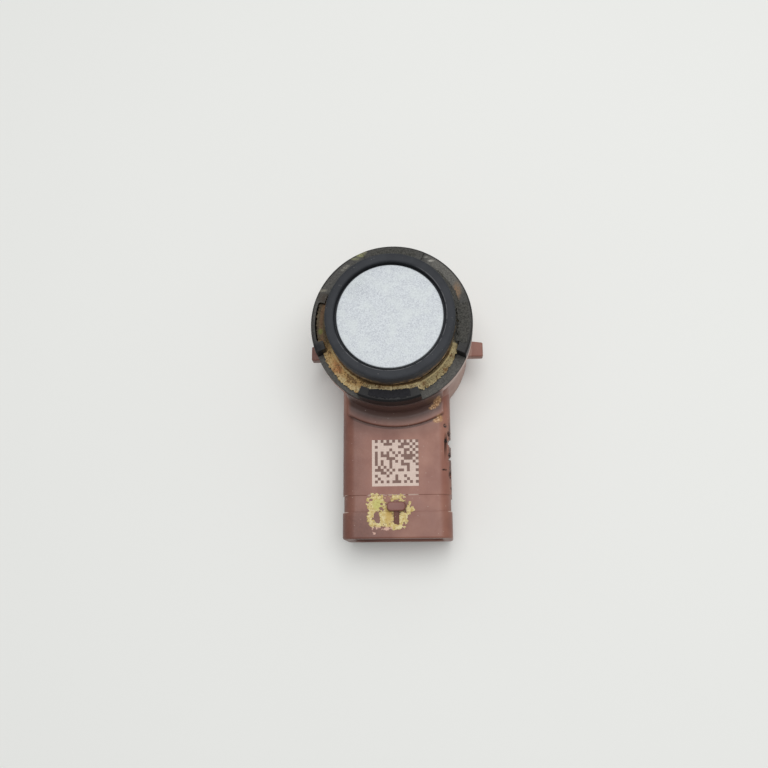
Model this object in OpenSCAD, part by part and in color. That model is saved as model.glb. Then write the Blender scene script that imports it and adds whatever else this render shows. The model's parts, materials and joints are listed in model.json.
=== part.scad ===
// Ultrasonic parking sensor: a round sensing head on a moulded pot with a side connector arm.
// Origin at the centre of the back face, +Z out of the membrane, the connector arm along -Y.

/* [Head] */
// Height of the whole sensor, from the back face to the top of the rubber ring
total_h = 23.3; // [22.5:0.1:25]
// Radius of the membrane's round face
membrane_r = 7.75; // [7:0.05:8.5]
// Thickness of the membrane's face
membrane_t = 0.7; // [0.5:0.05:1]
// Side wall of the membrane cup
cup_wall = 1.2; // [0.8:0.05:1.6]
// Width of the rim at the foot of the membrane cup
cup_rim_w = 0.75; // [0.4:0.05:0.9]
// Height of that rim
cup_rim_h = 1; // [0.7:0.1:1.4]
// Depth of the membrane's face below the top of the rubber ring
face_drop = 0.5; // [0.2:0.05:0.8]

/* [Rubber ring] */
// Wall of the ring at its nose
ring_wall = 1.72; // [1.4:0.01:2.2]
// How much slimmer the ring is below its nose
ring_relief = 0.35; // [0.25:0.05:0.5]
// Round of the nose's outer edge
nose_round = 0.45; // [0.2:0.05:0.6]
// Round of the nose's inner edge
lip_round = 0.3; // [0.1:0.05:0.4]
// Width of the groove between the membrane and the ring
groove_w = 0.4; // [0.2:0.05:0.5]
// Depth of that groove below the membrane's face
groove_depth = 0.9; // [0.5:0.1:1.5]
// Thickness of the ring's base flange
ring_base_t = 1.2; // [1:0.1:1.6]
// Rubber below the cup's rim
ring_floor = 0.5; // [0.3:0.05:0.6]
// How far the rubber reaches in under the cup's rim
ring_lip = 0.5; // [0.3:0.1:0.8]

/* [Sleeve] */
// Gap between the rubber ring and the sleeve
ring_gap = 0.13; // [0.05:0.01:0.25]
// Width of the open channel round the rubber ring
channel_w = 0.85; // [0.6:0.05:1.1]
// Depth of the channel below the ledge
channel_depth = 0.7; // [0.4:0.1:1]
// Width of the sleeve outside the channel
lug_wall = 1.55; // [1.3:0.05:2]
// Wall of a lug outside its pocket
lug_shell = 0.65; // [0.5:0.05:0.9]
// Thickness of the ledge that lies on the housing's rim
ledge_t = 0.4; // [0.3:0.05:0.6]
// Height of the lugs above the ledge
lug_h = 2.6; // [1.8:0.1:3.2]
// How far the walls between the rear lugs stay below the lugs
rear_drop = 0.3; // [0.1:0.1:1]
// Angle that each lug spans
lug_angle = 46; // [36:1:54]
// Turn of the lugs about the axis
lug_turn = -2; // [-10:1:10]
// Thickness of a lug's end walls
lug_end = 1.3; // [0.8:0.1:1.8]
// Round of the corners inside a lug's pocket
pocket_round = 0.4; // [0.2:0.05:0.5]
// Round of a lug's outer top edge
lug_round = 0.4; // [0.2:0.05:0.6]
// Round of a lug's inner top edge, beside the ring
lug_edge = 0.1; // [0.05:0.05:0.2]

/* [Pot] */
// How far the rim flange stands out from the pot's wall
flange_lip = 0.75; // [0.4:0.05:1]
// Height of the rim flange
flange_h = 2.1; // [1.6:0.1:2.6]
// Wall of the pot beside the circuit board
pot_wall = 1.35; // [1.2:0.05:1.6]
// Wall of the pot at the ring's seat
seat_wall = 0.95; // [0.8:0.05:1.1]
// Wall of the rim flange
rim_wall = 1.15; // [1.05:0.05:1.3]
// Depth of the wide part of the front seat
rim_depth = 1.4; // [1:0.1:1.8]
// Depth of the whole front seat
seat_depth = 4.2; // [3.6:0.1:5]
// Width of the ledge that carries the circuit board
board_ledge = 0.7; // [0.4:0.05:0.8]
// Thickness of the pot's back
back_t = 1.5; // [1.2:0.1:2]
// Round of the back's edge
back_round = 0.6; // [0.3:0.1:1]

/* [Side tabs] */
// Reach of a side tab from the head's axis
tab_reach = 13.7; // [13:0.1:15]
// Width of a side tab
tab_w = 2.75; // [2:0.05:3.5]
// Thickness of a side tab
tab_t = 1.8; // [1.2:0.1:3]
// Height of a side tab's top
tab_top = 7.7; // [6:0.1:9]
// Offset of the tabs from the head's axis, towards the arm
tab_shift = 1; // [0:0.05:2.5]
// Slope cut from a tab's outer corner
tab_slope = 0.5; // [0.1:0.1:0.8]

/* [Connector arm] */
// Half of the arm's width
arm_half_w = 8.27; // [7.6:0.01:9]
// Height of the arm's underside above the back face
arm_bottom = 2.05; // [1.6:0.05:2.5]
// Height of the arm
arm_h = 9.25; // [8.5:0.05:10]
// Distance of the arm's mouth from the head's axis
arm_reach = 31; // [29:0.5:36]
// Round of the arm's upper edges
arm_round = 2; // [1:0.1:2.4]
// Round of the arm's lower edges
arm_under_round = 1; // [0.5:0.1:1.5]
// Length of the collar at the mouth
collar_len = 4; // [3:0.1:5]
// How far that collar stands proud of the arm
collar_proud = 0.04; // [0.02:0.01:0.25]
// Width of the shallow groove behind the collar
band_w = 2.5; // [1.5:0.1:3.5]
// Depth of that groove
band_depth = 0.15; // [0.1:0.05:0.3]
// Radius of the raised neck about the head's axis
neck_r = 14.2; // [13.4:0.1:15]
// Height of the neck above the arm
neck_rise = 0.5; // [0.2:0.1:0.8]
// Half of the neck's width
neck_half_w = 7.3; // [6.6:0.1:7.5]
// How far the neck's wall stands out from the rim flange
neck_proud = 0.1; // [0.05:0.05:0.2]
// Hollow round at the foot of the neck's wall
neck_foot = 0.9; // [0.5:0.1:1.2]

/* [Connector] */
// Width of the socket
socket_w = 13.5; // [12:0.1:14]
// Height of the socket
socket_h = 6.85; // [6:0.05:7.2]
// Depth of the socket
socket_depth = 10.5; // [8:0.5:12]
// Round of the socket's corners
socket_round = 1; // [0.5:0.1:1.5]
// Size of a terminal's square section
pin_w = 0.64; // [0.5:0.02:0.8]
// Distance between terminals
pin_pitch = 3; // [2.2:0.1:3.2]
// Depth of the terminal tips inside the socket
pin_recess = 4.6; // [3.5:0.1:6]
// Length of a terminal's tapered tip
tip_len = 0.8; // [0.4:0.1:1.2]
// Width at the end of the tip
tip_w = 0.3; // [0.2:0.02:0.4]

/* [Latch] */
// Width of the latch's head
latch_w = 2.8; // [2:0.1:4]
// Length of the latch's head
latch_len = 1.4; // [1.4:0.1:2.4]
// Round of that head's ends
latch_round = 0.6; // [0.3:0.1:0.6]
// Distance of the latch's catch face from the mouth
latch_back = 5.4; // [5:0.1:6]
// Height of the latch above the arm
latch_h = 1.2; // [0.8:0.1:1.6]
// Width of the ramp in front of the latch
ramp_w = 0.8; // [0.6:0.1:1.4]
// Length of that ramp
ramp_len = 2; // [1.4:0.1:2.8]
// Height of that ramp where it meets the latch
ramp_h = 0.6; // [0.3:0.1:0.8]

/* [Arm underside] */
// Width of a moulding pocket
core_w = 2.85; // [2:0.05:3.2]
// Length of a moulding pocket
core_len = 5.6; // [4:0.1:6]
// Depth of a moulding pocket
core_depth = 3; // [2:0.1:3.4]
// Rib between pockets
core_rib = 1.15; // [0.8:0.05:1.3]
// Wall between the pockets and the socket's end
core_wall = 1.4; // [1:0.1:1.8]

/* [Circuit board] */
// Thickness of the board
board_t = 1.2; // [0.8:0.1:1.6]
// Clearance round the board and the contact carrier
board_clear = 0.1; // [0.05:0.05:0.2]
// Clearance of a through hole round its pin
hole_clear = 0.08; // [0.05:0.01:0.12]
// Length of a pin's tail past the board
pin_tail = 1; // [0.6:0.1:1.2]
// Distance of the terminals' board legs from the carrier's wall
leg_inset = 1.3; // [1:0.1:1.6]
// Driver chip's side
chip_w = 5; // [4:0.1:5.4]
// Driver chip's height
chip_h = 0.9; // [0.7:0.05:1.2]
// Storage capacitor's length
store_len = 3.5; // [3:0.1:4]
// Storage capacitor's width
store_w = 2.8; // [2.4:0.1:3]
// Storage capacitor's height
store_h = 1.9; // [1.2:0.1:2.2]
// Length of a chip capacitor or resistor
small_len = 1.6; // [1:0.1:1.8]
// Width of a chip capacitor or resistor
small_w = 0.8; // [0.5:0.05:0.9]
// Height of a chip capacitor
small_cap_h = 0.8; // [0.5:0.05:0.9]
// Height of a chip resistor
small_res_h = 0.45; // [0.3:0.05:0.6]
// Transformer core's radius
core_r = 3.1; // [2.6:0.1:3.4]
// Radius of the core's middle post
post_r = 1.4; // [1.1:0.1:1.6]
// Thickness of the core's two flanges
core_flange_t = 0.9; // [0.7:0.1:1.1]
// Height of the winding between the flanges
winding_h = 2.4; // [1.8:0.1:2.6]
// Depth of the winding below the flanges' edge
winding_drop = 0.35; // [0.2:0.05:0.5]

/* [Transducer inside] */
// Piezo disc's radius
piezo_r = 3.3; // [3:0.1:3.6]
// Piezo disc's thickness
piezo_t = 0.5; // [0.3:0.05:0.8]
// Thickness of the damping foam
foam_t = 4.6; // [3:0.1:5]
// Clearance round the damping foam and round the leads in it
foam_clear = 0.05; // [0.02:0.01:0.1]
// Radius of a lead wire
lead_r = 0.2; // [0.15:0.01:0.25]
// Radius of a contact pin
contact_r = 0.35; // [0.3:0.01:0.45]
// Height of the contact pins above the carrier
contact_rise = 2.2; // [1.6:0.1:3]
// Height of the contact carrier
carrier_h = 4.2; // [3.8:0.1:5]
// Thickness of the carrier's plate
carrier_plate = 1.5; // [1.2:0.1:1.8]
// Wall of the carrier's skirt
carrier_wall = 1.2; // [0.9:0.1:1.4]

/* [Fits] */
// Clearance of the sleeve and the ring's base in the front seat
seat_clear = 0.05; // [0.02:0.01:0.1]

/* [Hidden] */
$fn = 96;
// A small overlap that makes cuts and joins clean
bite = 0.2;
// How far the round at the neck's foot dips into the step, so that the two meet at an angle
foot_dip = 0.04;

// Radii, from the membrane outwards
ring_r = membrane_r + ring_wall;
ring_root_r = ring_r - ring_relief;
sleeve_in_r = ring_r + ring_gap;
lug_in_r = sleeve_in_r + channel_w;
sleeve_r = lug_in_r + lug_wall;
pot_r = sleeve_r - flange_lip;
board_bore_r = pot_r - pot_wall;
bed_r = board_bore_r - board_ledge;
board_r = board_bore_r - board_clear;
seat_bore_r = pot_r - seat_wall;
rim_bore_r = sleeve_r - rim_wall;
carrier_in_r = board_r - carrier_wall;
cup_in_r = membrane_r - cup_wall;

// Heights, from the back face forwards
arm_top = arm_bottom + arm_h;
socket_z = arm_bottom + arm_h / 2;
board_z = socket_z + pin_w / 2;
board_top = board_z + board_t;
seat_z = board_top + carrier_h;
ring_base_top = seat_z + ring_base_t;
flange_top = seat_z + seat_depth;
flange_bottom = flange_top - flange_h;
rim_floor = flange_top - rim_depth;
ledge_top = flange_top + ledge_t;
channel_floor = ledge_top - channel_depth;
lug_top = ledge_top + lug_h;
nose_z = lug_top + seat_clear;
ring_top = total_h;
face_z = ring_top - face_drop;
groove_z = face_z - groove_depth;
cup_z = seat_z + ring_floor;
cup_ceiling = face_z - membrane_t;
foam_top = cup_ceiling - piezo_t;
contact_top = seat_z + contact_rise;

// Places along the arm and on the board
socket_end = arm_reach - socket_depth;
pin_tip = arm_reach - pin_recess;
leg_y = -(carrier_in_r - leg_inset);
leg_end = leg_y + pin_w;
// Space left between the terminals' legs and the parts on the board
part_gap = 0.9;
signal_at = [-1.3, 2.3];
ground_at = [1.3, 4.9];
transformer_at = [0, leg_end + part_gap + core_r];
chip_at = [-2.4, leg_end + part_gap + chip_w / 2];
store_at = [4, leg_end + part_gap + chip_w / 2];
small_cap_at = [[-4.6, 2.2], [-4.6, 3.6], [-3.4, 5]];
small_res_at = [[4.6, 2.2], [4.6, 3.6], [3.6, 5]];
// How far the foot of a moulded block on the board stands out
foot_out = 0.12;
// How far the end caps of a chip part stand proud
cap_proud = 0.04;
core_h = winding_h + 2 * core_flange_t;

// Flat shapes

// A block from r0 to r1 and z0 to z1 whose two upper corners are rounded
module round_band(r0, r1, z0, z1, round_in, round_out) {
  big = max(round_in, round_out);
  translate([r0, z0]) square([r1 - r0, z1 - z0 - big]);
  translate([r0 + round_in, z0]) square([r1 - r0 - round_in - round_out, z1 - z0]);
  translate([r0 + round_in, z1 - round_in]) circle(round_in);
  translate([r1 - round_out, z1 - round_out]) circle(round_out);
  translate([r0, z0]) square([(r1 - r0) / 2, z1 - z0 - round_in]);
}

// A plain block from r0 to r1 and z0 to z1
module band(r0, r1, z0, z1) {
  translate([r0, z0]) square([r1 - r0, z1 - z0]);
}

// A rectangle with rounded corners, standing on y0 and centred on the upright axis
module round_box(half_w, y0, y1, upper, lower) {
  translate([-half_w, y0 + lower]) square([2 * half_w, y1 - y0 - upper - lower]);
  translate([-half_w + upper, y0 + lower]) square([2 * (half_w - upper), y1 - y0 - lower]);
  translate([-half_w + lower, y0]) square([2 * (half_w - lower), y1 - y0 - upper]);
  for (side = [-1, 1]) {
    translate([side * (half_w - upper), y1 - upper]) circle(upper);
    translate([side * (half_w - lower), y0 + lower]) circle(lower);
  }
}

// A slice of a round plate, centred on the X axis
module slice(r, angle) {
  far = 2 * r;
  intersection() {
    circle(r);
    polygon([
      [0, 0], far * [cos(angle / 2), -sin(angle / 2)], [far, 0], far * [cos(angle / 2), sin(angle / 2)]
    ]);
  }
}

// Carries a flat shape in X and Z along -Y, from start to end
module along_arm(start, end) {
  translate([0, -start, 0]) rotate([90, 0, 0]) linear_extrude(end - start) children();
}

// Housing

module pot_outside() {
  rotate_extrude() {
    difference() {
      band(0, pot_r, 0, flange_bottom + bite);
      band(pot_r - back_round, pot_r + bite, -bite, back_round);
    }
    band(0, pot_r - back_round, 0, back_round + bite);
    translate([pot_r - back_round, back_round]) circle(back_round);
    band(0, sleeve_r, flange_bottom, flange_top);
  }
}

// A length of the arm, with its section grown or shrunk all round
module arm_length(start, end, grow) {
  along_arm(start, end)
    round_box(arm_half_w + grow, arm_bottom - grow, arm_top + grow, arm_round, arm_under_round);
}

module arm_outside() {
  band_start = arm_reach - collar_len - band_w;
  arm_length(0, band_start + bite, 0);
  arm_length(band_start, band_start + band_w + bite, -band_depth);
  arm_length(band_start + band_w, arm_reach, collar_proud);
}

// The raised neck between the pot and the arm: a low step, and the wall above it with a hollow foot
module neck() {
  wall_r = sleeve_r + neck_proud;
  step_top = arm_top + neck_rise;
  foot_z = step_top + neck_foot - foot_dip;
  intersection() {
    translate([0, 0, arm_bottom]) cylinder(r = neck_r, h = arm_h + neck_rise);
    along_arm(0, neck_r)
      round_box(neck_half_w, arm_bottom, step_top, neck_rise, neck_rise / 2);
  }
  intersection() {
    rotate_extrude() {
      band(0, wall_r, arm_bottom + bite, flange_top - bite);
      difference() {
        band(0, wall_r + neck_foot, step_top - bite, foot_z);
        translate([wall_r + neck_foot, foot_z]) circle(neck_foot);
      }
    }
    translate([-neck_half_w, -neck_r, 0]) cube([2 * neck_half_w, neck_r, flange_top]);
  }
}

module side_tab() {
  root = pot_r - pot_wall / 2;
  y0 = -tab_shift - tab_w / 2;
  y1 = -tab_shift + tab_w / 2;
  slope_x = (root + tab_reach) / 2;
  translate([0, 0, tab_top - tab_t]) linear_extrude(tab_t)
    polygon([[root, y0], [tab_reach, y0], [tab_reach, y1 - tab_slope], [slope_x, y1], [root, y1]]);
}

// The catch for the plug's latch: a wide oval head with a narrow ramp before it
module latch() {
  head_end = arm_reach - latch_back + latch_len;
  root = latch_len / 2 - head_end;
  foot = arm_top - band_depth - bite;
  translate([-latch_w / 2, -head_end, foot]) linear_extrude(arm_top + latch_h - foot)
    offset(latch_round) offset(delta = -latch_round) square([latch_w, latch_len]);
  translate([-ramp_w / 2, 0, 0]) rotate([90, 0, 90]) linear_extrude(ramp_w)
    polygon([
      [root, foot], [root, arm_top + ramp_h], [-head_end, arm_top + ramp_h],
      [-head_end - ramp_len, arm_top], [-head_end - ramp_len, foot]
    ]);
}

module bores() {
  rotate_extrude() {
    band(0, bed_r, back_t, board_z + bite);
    band(0, board_bore_r, board_z, seat_z + bite);
    band(0, seat_bore_r, seat_z, rim_floor + bite);
    band(0, rim_bore_r, rim_floor, flange_top + bite);
  }
}

module socket() {
  along_arm(socket_end, arm_reach + bite)
    round_box(socket_w / 2, socket_z - socket_h / 2, socket_z + socket_h / 2, socket_round, socket_round);
}

// Four pockets under the arm that keep its walls even
module core_pockets() {
  step = core_w + core_rib;
  end = socket_end - core_wall;
  for (i = [-1.5 : 1.5])
    translate([i * step - core_w / 2, -end, arm_bottom - bite]) cube([core_w, core_len, core_depth + bite]);
}

module housing() {
  color([0.56, 0.41, 0.37]) difference() {
    union() {
      pot_outside();
      arm_outside();
      neck();
      side_tab();
      mirror([1, 0, 0]) side_tab();
      latch();
    }
    bores();
    socket();
    core_pockets();
    for (i = [-1 : 1]) terminal(i);
  }
}

// Front of the head

// A slice of a round plate with its two outer corners rounded
module round_slice(r, angle, corner) {
  turn = asin(corner / (r - corner));
  slice(r - corner, angle);
  slice(r, angle - 2 * turn);
  for (side = [-1, 1]) rotate(side * (angle / 2 - turn)) translate([r - corner, 0]) circle(corner);
}

// One revolved ring with a channel round the rubber, a pocket in each lug and steps between the lugs:
// down to the ledge at the front, beside the arm, and only a little at the rear
module retaining_sleeve() {
  pocket_r = sleeve_r - lug_shell;
  pocket_angle = lug_angle - 2 * asin(lug_end / lug_in_r);
  color([0.15, 0.15, 0.16]) difference() {
    rotate_extrude() {
      band(sleeve_in_r, seat_bore_r - seat_clear, ring_base_top, rim_floor + bite);
      band(sleeve_in_r, rim_bore_r - seat_clear, rim_floor, channel_floor);
      band(lug_in_r, rim_bore_r - seat_clear, rim_floor, flange_top + bite / 2);
      round_band(lug_in_r, sleeve_r, flange_top, lug_top, lug_edge, lug_round);
    }
    for (i = [0 : 3]) rotate(90 * i + lug_turn) {
      translate([0, 0, ledge_top]) linear_extrude(lug_top) round_slice(pocket_r, pocket_angle, pocket_round);
      rotate(45) translate([0, 0, i < 2 ? lug_top - rear_drop : ledge_top])
        linear_extrude(lug_top) slice(2 * sleeve_r, 90 - lug_angle);
    }
  }
}

module decoupling_ring() {
  color([0.25, 0.26, 0.28]) rotate_extrude() difference() {
    union() {
      band(membrane_r - ring_lip, seat_bore_r - seat_clear, seat_z, ring_base_top);
      band(membrane_r - ring_lip, ring_root_r, seat_z, nose_z + bite);
      band(membrane_r - ring_lip, ring_r, nose_z, groove_z);
      round_band(membrane_r + groove_w, ring_r, groove_z - bite, ring_top, lip_round, nose_round);
    }
    band(0, membrane_r + cup_rim_w, cup_z, cup_z + cup_rim_h);
    band(0, membrane_r, cup_z, ring_top);
  }
}

module membrane_cup() {
  color([0.82, 0.85, 0.86]) rotate_extrude() difference() {
    union() {
      band(0, membrane_r, cup_z, face_z);
      band(0, membrane_r + cup_rim_w, cup_z, cup_z + cup_rim_h);
    }
    band(-bite, cup_in_r, cup_z - bite, cup_ceiling);
  }
}

// Inside the membrane cup

module piezo_disc() {
  color([0.78, 0.74, 0.62]) translate([0, 0, foam_top]) cylinder(r = piezo_r, h = piezo_t);
}

module damping_foam() {
  foam_z = foam_top - foam_t;
  color([0.35, 0.36, 0.38]) difference() {
    translate([0, 0, foam_z]) cylinder(r = cup_in_r - foam_clear, h = foam_t);
    for (at = [signal_at, ground_at])
      translate([at.x, at.y, foam_z - bite]) cylinder(r = lead_r + foam_clear, h = foam_t + 2 * bite);
  }
}

// A straight wire from the top of a contact pin to the height given
module lead(at, top) {
  translate([at.x, at.y, contact_top]) cylinder(r = lead_r, h = top - contact_top);
}

module signal_lead() {
  color([0.72, 0.16, 0.13]) lead(signal_at, foam_top);
}

module ground_lead() {
  color([0.16, 0.2, 0.5]) lead(ground_at, cup_ceiling);
}

// Contacts and board

module contact_carrier() {
  color([0.22, 0.22, 0.23]) difference() {
    translate([0, 0, board_top]) cylinder(r = board_r, h = carrier_h);
    translate([0, 0, board_top - bite]) cylinder(r = carrier_in_r, h = carrier_h - carrier_plate + bite);
    signal_pin_shape();
    ground_pin_shape();
  }
}

module contact_pin(at) {
  translate([at.x, at.y, board_z - pin_tail]) cylinder(r = contact_r, h = contact_top - board_z + pin_tail);
}

module signal_pin_shape() {
  contact_pin(signal_at);
}

module ground_pin_shape() {
  contact_pin(ground_at);
}

module signal_pin() {
  color([0.8, 0.66, 0.35]) signal_pin_shape();
}

module ground_pin() {
  color([0.8, 0.66, 0.35]) ground_pin_shape();
}

module circuit_board() {
  leg_hole = pin_w + 2 * hole_clear;
  color([0.12, 0.36, 0.2]) difference() {
    translate([0, 0, board_z]) cylinder(r = board_r, h = board_t);
    for (at = [signal_at, ground_at])
      translate([at.x, at.y, board_z - bite]) cylinder(r = contact_r + hole_clear, h = board_t + 2 * bite);
    for (i = [-1 : 1])
      translate([i * pin_pitch - leg_hole / 2, leg_y - hole_clear, board_z - bite])
        cube([leg_hole, leg_hole, board_t + 2 * bite]);
  }
}

// A drum core that hangs below the board, and the coil between its flanges
module transformer_core() {
  color([0.24, 0.23, 0.23])
    translate([transformer_at.x, transformer_at.y, board_z - core_h]) rotate_extrude() {
      band(0, core_r, 0, core_flange_t);
      band(0, post_r, 0, core_h);
      band(0, core_r, core_h - core_flange_t, core_h);
    }
}

module transformer_winding() {
  color([0.72, 0.4, 0.2]) translate([transformer_at.x, transformer_at.y, board_z - core_flange_t - winding_h])
    rotate_extrude() band(post_r, core_r - winding_drop, 0, winding_h);
}

// A block on the board, with a foot a little wider than its body
module board_block(at, size, foot_h) {
  translate([at.x - size.x / 2, at.y - size.y / 2, board_top]) {
    translate([foot_out, foot_out, 0]) cube([size.x - 2 * foot_out, size.y - 2 * foot_out, size.z]);
    cube([size.x, size.y, foot_h]);
  }
}

module driver_chip() {
  color([0.1, 0.1, 0.11]) board_block(chip_at, [chip_w, chip_w, chip_h], chip_h / 4);
}

module storage_capacitor() {
  color([0.75, 0.6, 0.25]) board_block(store_at, [store_w, store_len, store_h], store_h / 2);
}

// A chip part: a body between two end caps that stand a little proud
module chip_part(at, height) {
  cap_len = small_len / 5;
  translate([at.x - small_len / 2, at.y - small_w / 2, board_top]) {
    translate([0, cap_proud, 0]) cube([small_len, small_w - 2 * cap_proud, height - cap_proud]);
    for (x = [0, small_len - cap_len]) translate([x, 0, 0]) cube([cap_len, small_w, height]);
  }
}

module chip_capacitors() {
  color([0.66, 0.52, 0.36]) for (at = small_cap_at) chip_part(at, small_cap_h);
}

module chip_resistors() {
  color([0.14, 0.14, 0.15]) for (at = small_res_at) chip_part(at, small_res_h);
}

// A terminal: a square blade with a tapered tip in the socket, and a leg up through the board
module terminal(i) {
  z0 = socket_z - pin_w / 2;
  leg_top = board_top + pin_tail;
  tip = -pin_tip;
  half = pin_w / 2;
  half_tip = tip_w / 2;
  translate([i * pin_pitch, 0, 0]) intersection() {
    rotate([90, 0, 90]) translate([0, 0, -half]) linear_extrude(pin_w)
      polygon([
        [tip, socket_z - half_tip], [tip + tip_len, z0], [leg_end, z0], [leg_end, leg_top], [leg_y, leg_top],
        [leg_y, z0 + pin_w], [tip + tip_len, z0 + pin_w], [tip, socket_z + half_tip]
      ]);
    linear_extrude(leg_top + bite)
      polygon([
        [-half_tip, tip], [half_tip, tip], [half, tip + tip_len],
        [half, leg_end], [-half, leg_end], [-half, tip + tip_len]
      ]);
  }
}

module terminal_left() {
  color([0.78, 0.76, 0.7]) terminal(-1);
}

module terminal_middle() {
  color([0.78, 0.76, 0.7]) terminal(0);
}

module terminal_right() {
  color([0.78, 0.76, 0.7]) terminal(1);
}

// The fill under the board, round the transformer, the pins' tails and the terminals
module potting() {
  color([0.55, 0.55, 0.52]) difference() {
    translate([0, 0, back_t]) cylinder(r = bed_r, h = board_z - back_t);
    translate([transformer_at.x, transformer_at.y, board_z - core_h]) cylinder(r = core_r, h = core_h + bite);
    signal_pin_shape();
    ground_pin_shape();
    for (i = [-1 : 1]) terminal(i);
  }
}

housing();
retaining_sleeve();
decoupling_ring();
membrane_cup();
piezo_disc();
damping_foam();
signal_lead();
ground_lead();
contact_carrier();
signal_pin();
ground_pin();
circuit_board();
transformer_core();
transformer_winding();
driver_chip();
storage_capacitor();
chip_capacitors();
chip_resistors();
terminal_left();
terminal_middle();
terminal_right();
potting();
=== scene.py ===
"""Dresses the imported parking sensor: its mouldings, their finishes, the dirt on it and the stage."""

import json
import math

import bmesh
import bpy
from bpy.props import FloatProperty, FloatVectorProperty, PointerProperty
from mathutils import Matrix, Vector, noise


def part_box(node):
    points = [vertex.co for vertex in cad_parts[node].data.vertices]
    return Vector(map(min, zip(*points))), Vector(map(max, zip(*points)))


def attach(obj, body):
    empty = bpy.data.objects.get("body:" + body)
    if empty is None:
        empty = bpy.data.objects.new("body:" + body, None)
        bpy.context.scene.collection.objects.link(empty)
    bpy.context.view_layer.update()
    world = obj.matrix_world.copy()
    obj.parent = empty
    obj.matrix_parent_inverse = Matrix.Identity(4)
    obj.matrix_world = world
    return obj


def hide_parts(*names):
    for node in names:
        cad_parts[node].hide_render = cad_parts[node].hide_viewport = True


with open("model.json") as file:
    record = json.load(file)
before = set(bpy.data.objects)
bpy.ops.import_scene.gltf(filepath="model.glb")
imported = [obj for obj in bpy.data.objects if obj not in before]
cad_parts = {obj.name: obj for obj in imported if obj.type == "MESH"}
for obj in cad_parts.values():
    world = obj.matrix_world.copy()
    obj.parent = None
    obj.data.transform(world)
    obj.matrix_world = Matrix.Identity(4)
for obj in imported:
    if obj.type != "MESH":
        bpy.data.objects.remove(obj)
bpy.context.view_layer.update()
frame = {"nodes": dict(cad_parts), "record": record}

bl_info = {
    "name": "Parking sensor",
    "version": (1, 0, 0),
    "blender": (4, 5, 0),
    "location": "3D View > Sidebar > Sensor",
    "description": "Models and finishes a used bumper parking sensor around its packed solids",
    "category": "Object",
}

MM = 0.001
FULL_TURN = 2 * math.pi
# Sides of a turned piece, each 2 degrees, and steps of a rounded corner
SIDES = 180
ARC_STEPS = 5
# Points closer than this are one point
WELD = 0.0005 * MM
# Two places closer than this are at the same height or distance
NEAR = 0.01 * MM
# A point this close to a turned wall is on it
WALL_CLOSE = 0.05 * MM

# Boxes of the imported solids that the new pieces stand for
housing_low, housing_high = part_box("housing")
sleeve_low, sleeve_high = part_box("retaining_sleeve")
ring_low, ring_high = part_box("decoupling_ring")
cup_low, cup_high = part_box("membrane_cup")
head_mount = next(mount for mount in frame["record"]["mounts"] if mount["name"] == "head")

ARM_REACH = -housing_low.y
FLANGE_RADIUS = housing_high.y
FLANGE_TOP = housing_high.z
TAB_REACH = housing_high.x
SLEEVE_RADIUS = sleeve_high.y
LUG_TOP = sleeve_high.z
RING_RADIUS = head_mount["dims"]["r_mm"] * MM
RING_TOP = ring_high.z
RING_FLOOR = ring_low.z
FACE_TOP = cup_high.z

# Small sizes of fits, edges and pockets
BOARD_CLEARANCE = 0.1 * MM
SEAT_CLEARANCE = 0.05 * MM
NECK_DROP = 0.2 * MM
TAB_SLOPE = 0.5 * MM
LUG_EDGE = 0.12 * MM
MOUTH_ROUND = 0.3 * MM
MOUTH_FLARE = 0.2 * MM
SEAM_ROUND = 0.06 * MM
RAMP_TIP = 0.12 * MM
POCKET_WALL = 1.4 * MM
POCKET_PITCH = 4.0 * MM
POCKET_WIDTH = 2.85 * MM
POCKET_LENGTH = 5.6 * MM
POCKET_DEPTH = 3.0 * MM
RAMP_OVERLAP = 0.1 * MM
CRUST_BODY = 0.05 * MM
# How much a gouge's lumps swell it, and how far it leans back for each millimetre down
GOUGE_LUMP = 0.35
GOUGE_LEAN = 0.163
# Rounds of small edges, from the crispest to the softest
SHARP_ROUND = 0.08 * MM
CRISP_ROUND = 0.1 * MM
EDGE_ROUND = 0.12 * MM
FACE_ROUND = 0.15 * MM
TAB_ROUND = 0.18 * MM
SOFT_ROUND = 0.2 * MM
FOOT_ROUND = 0.25 * MM
NECK_ROUND = 0.3 * MM
POCKET_ROUND = 0.4 * MM
# An edge whose faces turn by more than this, in radians, is a corner
CORNER_TURN = 0.8
# Cosines above which a face looks along an axis and an edge runs along it
FACING = 0.9
ALONG = 0.99
# Angles in degrees up to which faces are shaded as one, on mouldings and on dirt
MOULDED_ANGLE = 32
LUMPY_ANGLE = 60
# Sides of the floor in metres and of the camera's film in millimetres
FLOOR_SIDE = 4
FILM_WIDTH = 36


# Settings

def shade(red, green, blue):
    """Gives the linear colour of three display values from 0 to 255."""
    def linear(value):
        part = value / 255
        return part / 12.92 if part <= 0.04045 else ((part + 0.055) / 1.055) ** 2.4
    return linear(red), linear(green), linear(blue)


def length(meaning, millimetres):
    return FloatProperty(description=meaning, default=millimetres * MM, unit="LENGTH", precision=5)


def turn(meaning, degrees):
    return FloatProperty(description=meaning, default=math.radians(degrees), subtype="ANGLE")


def tint(meaning, *display):
    return FloatVectorProperty(
        description=meaning, default=shade(*display), size=3, min=0, max=1, subtype="COLOR")


def place_of(meaning, *metres):
    return FloatVectorProperty(
        description=meaning, default=metres, size=3, subtype="TRANSLATION", unit="LENGTH")


def named(group):
    """Names each setting of a group after its field."""
    for field, setting in group.__annotations__.items():
        setting.keywords["name"] = field.replace("_", " ").capitalize()
    return group


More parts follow.
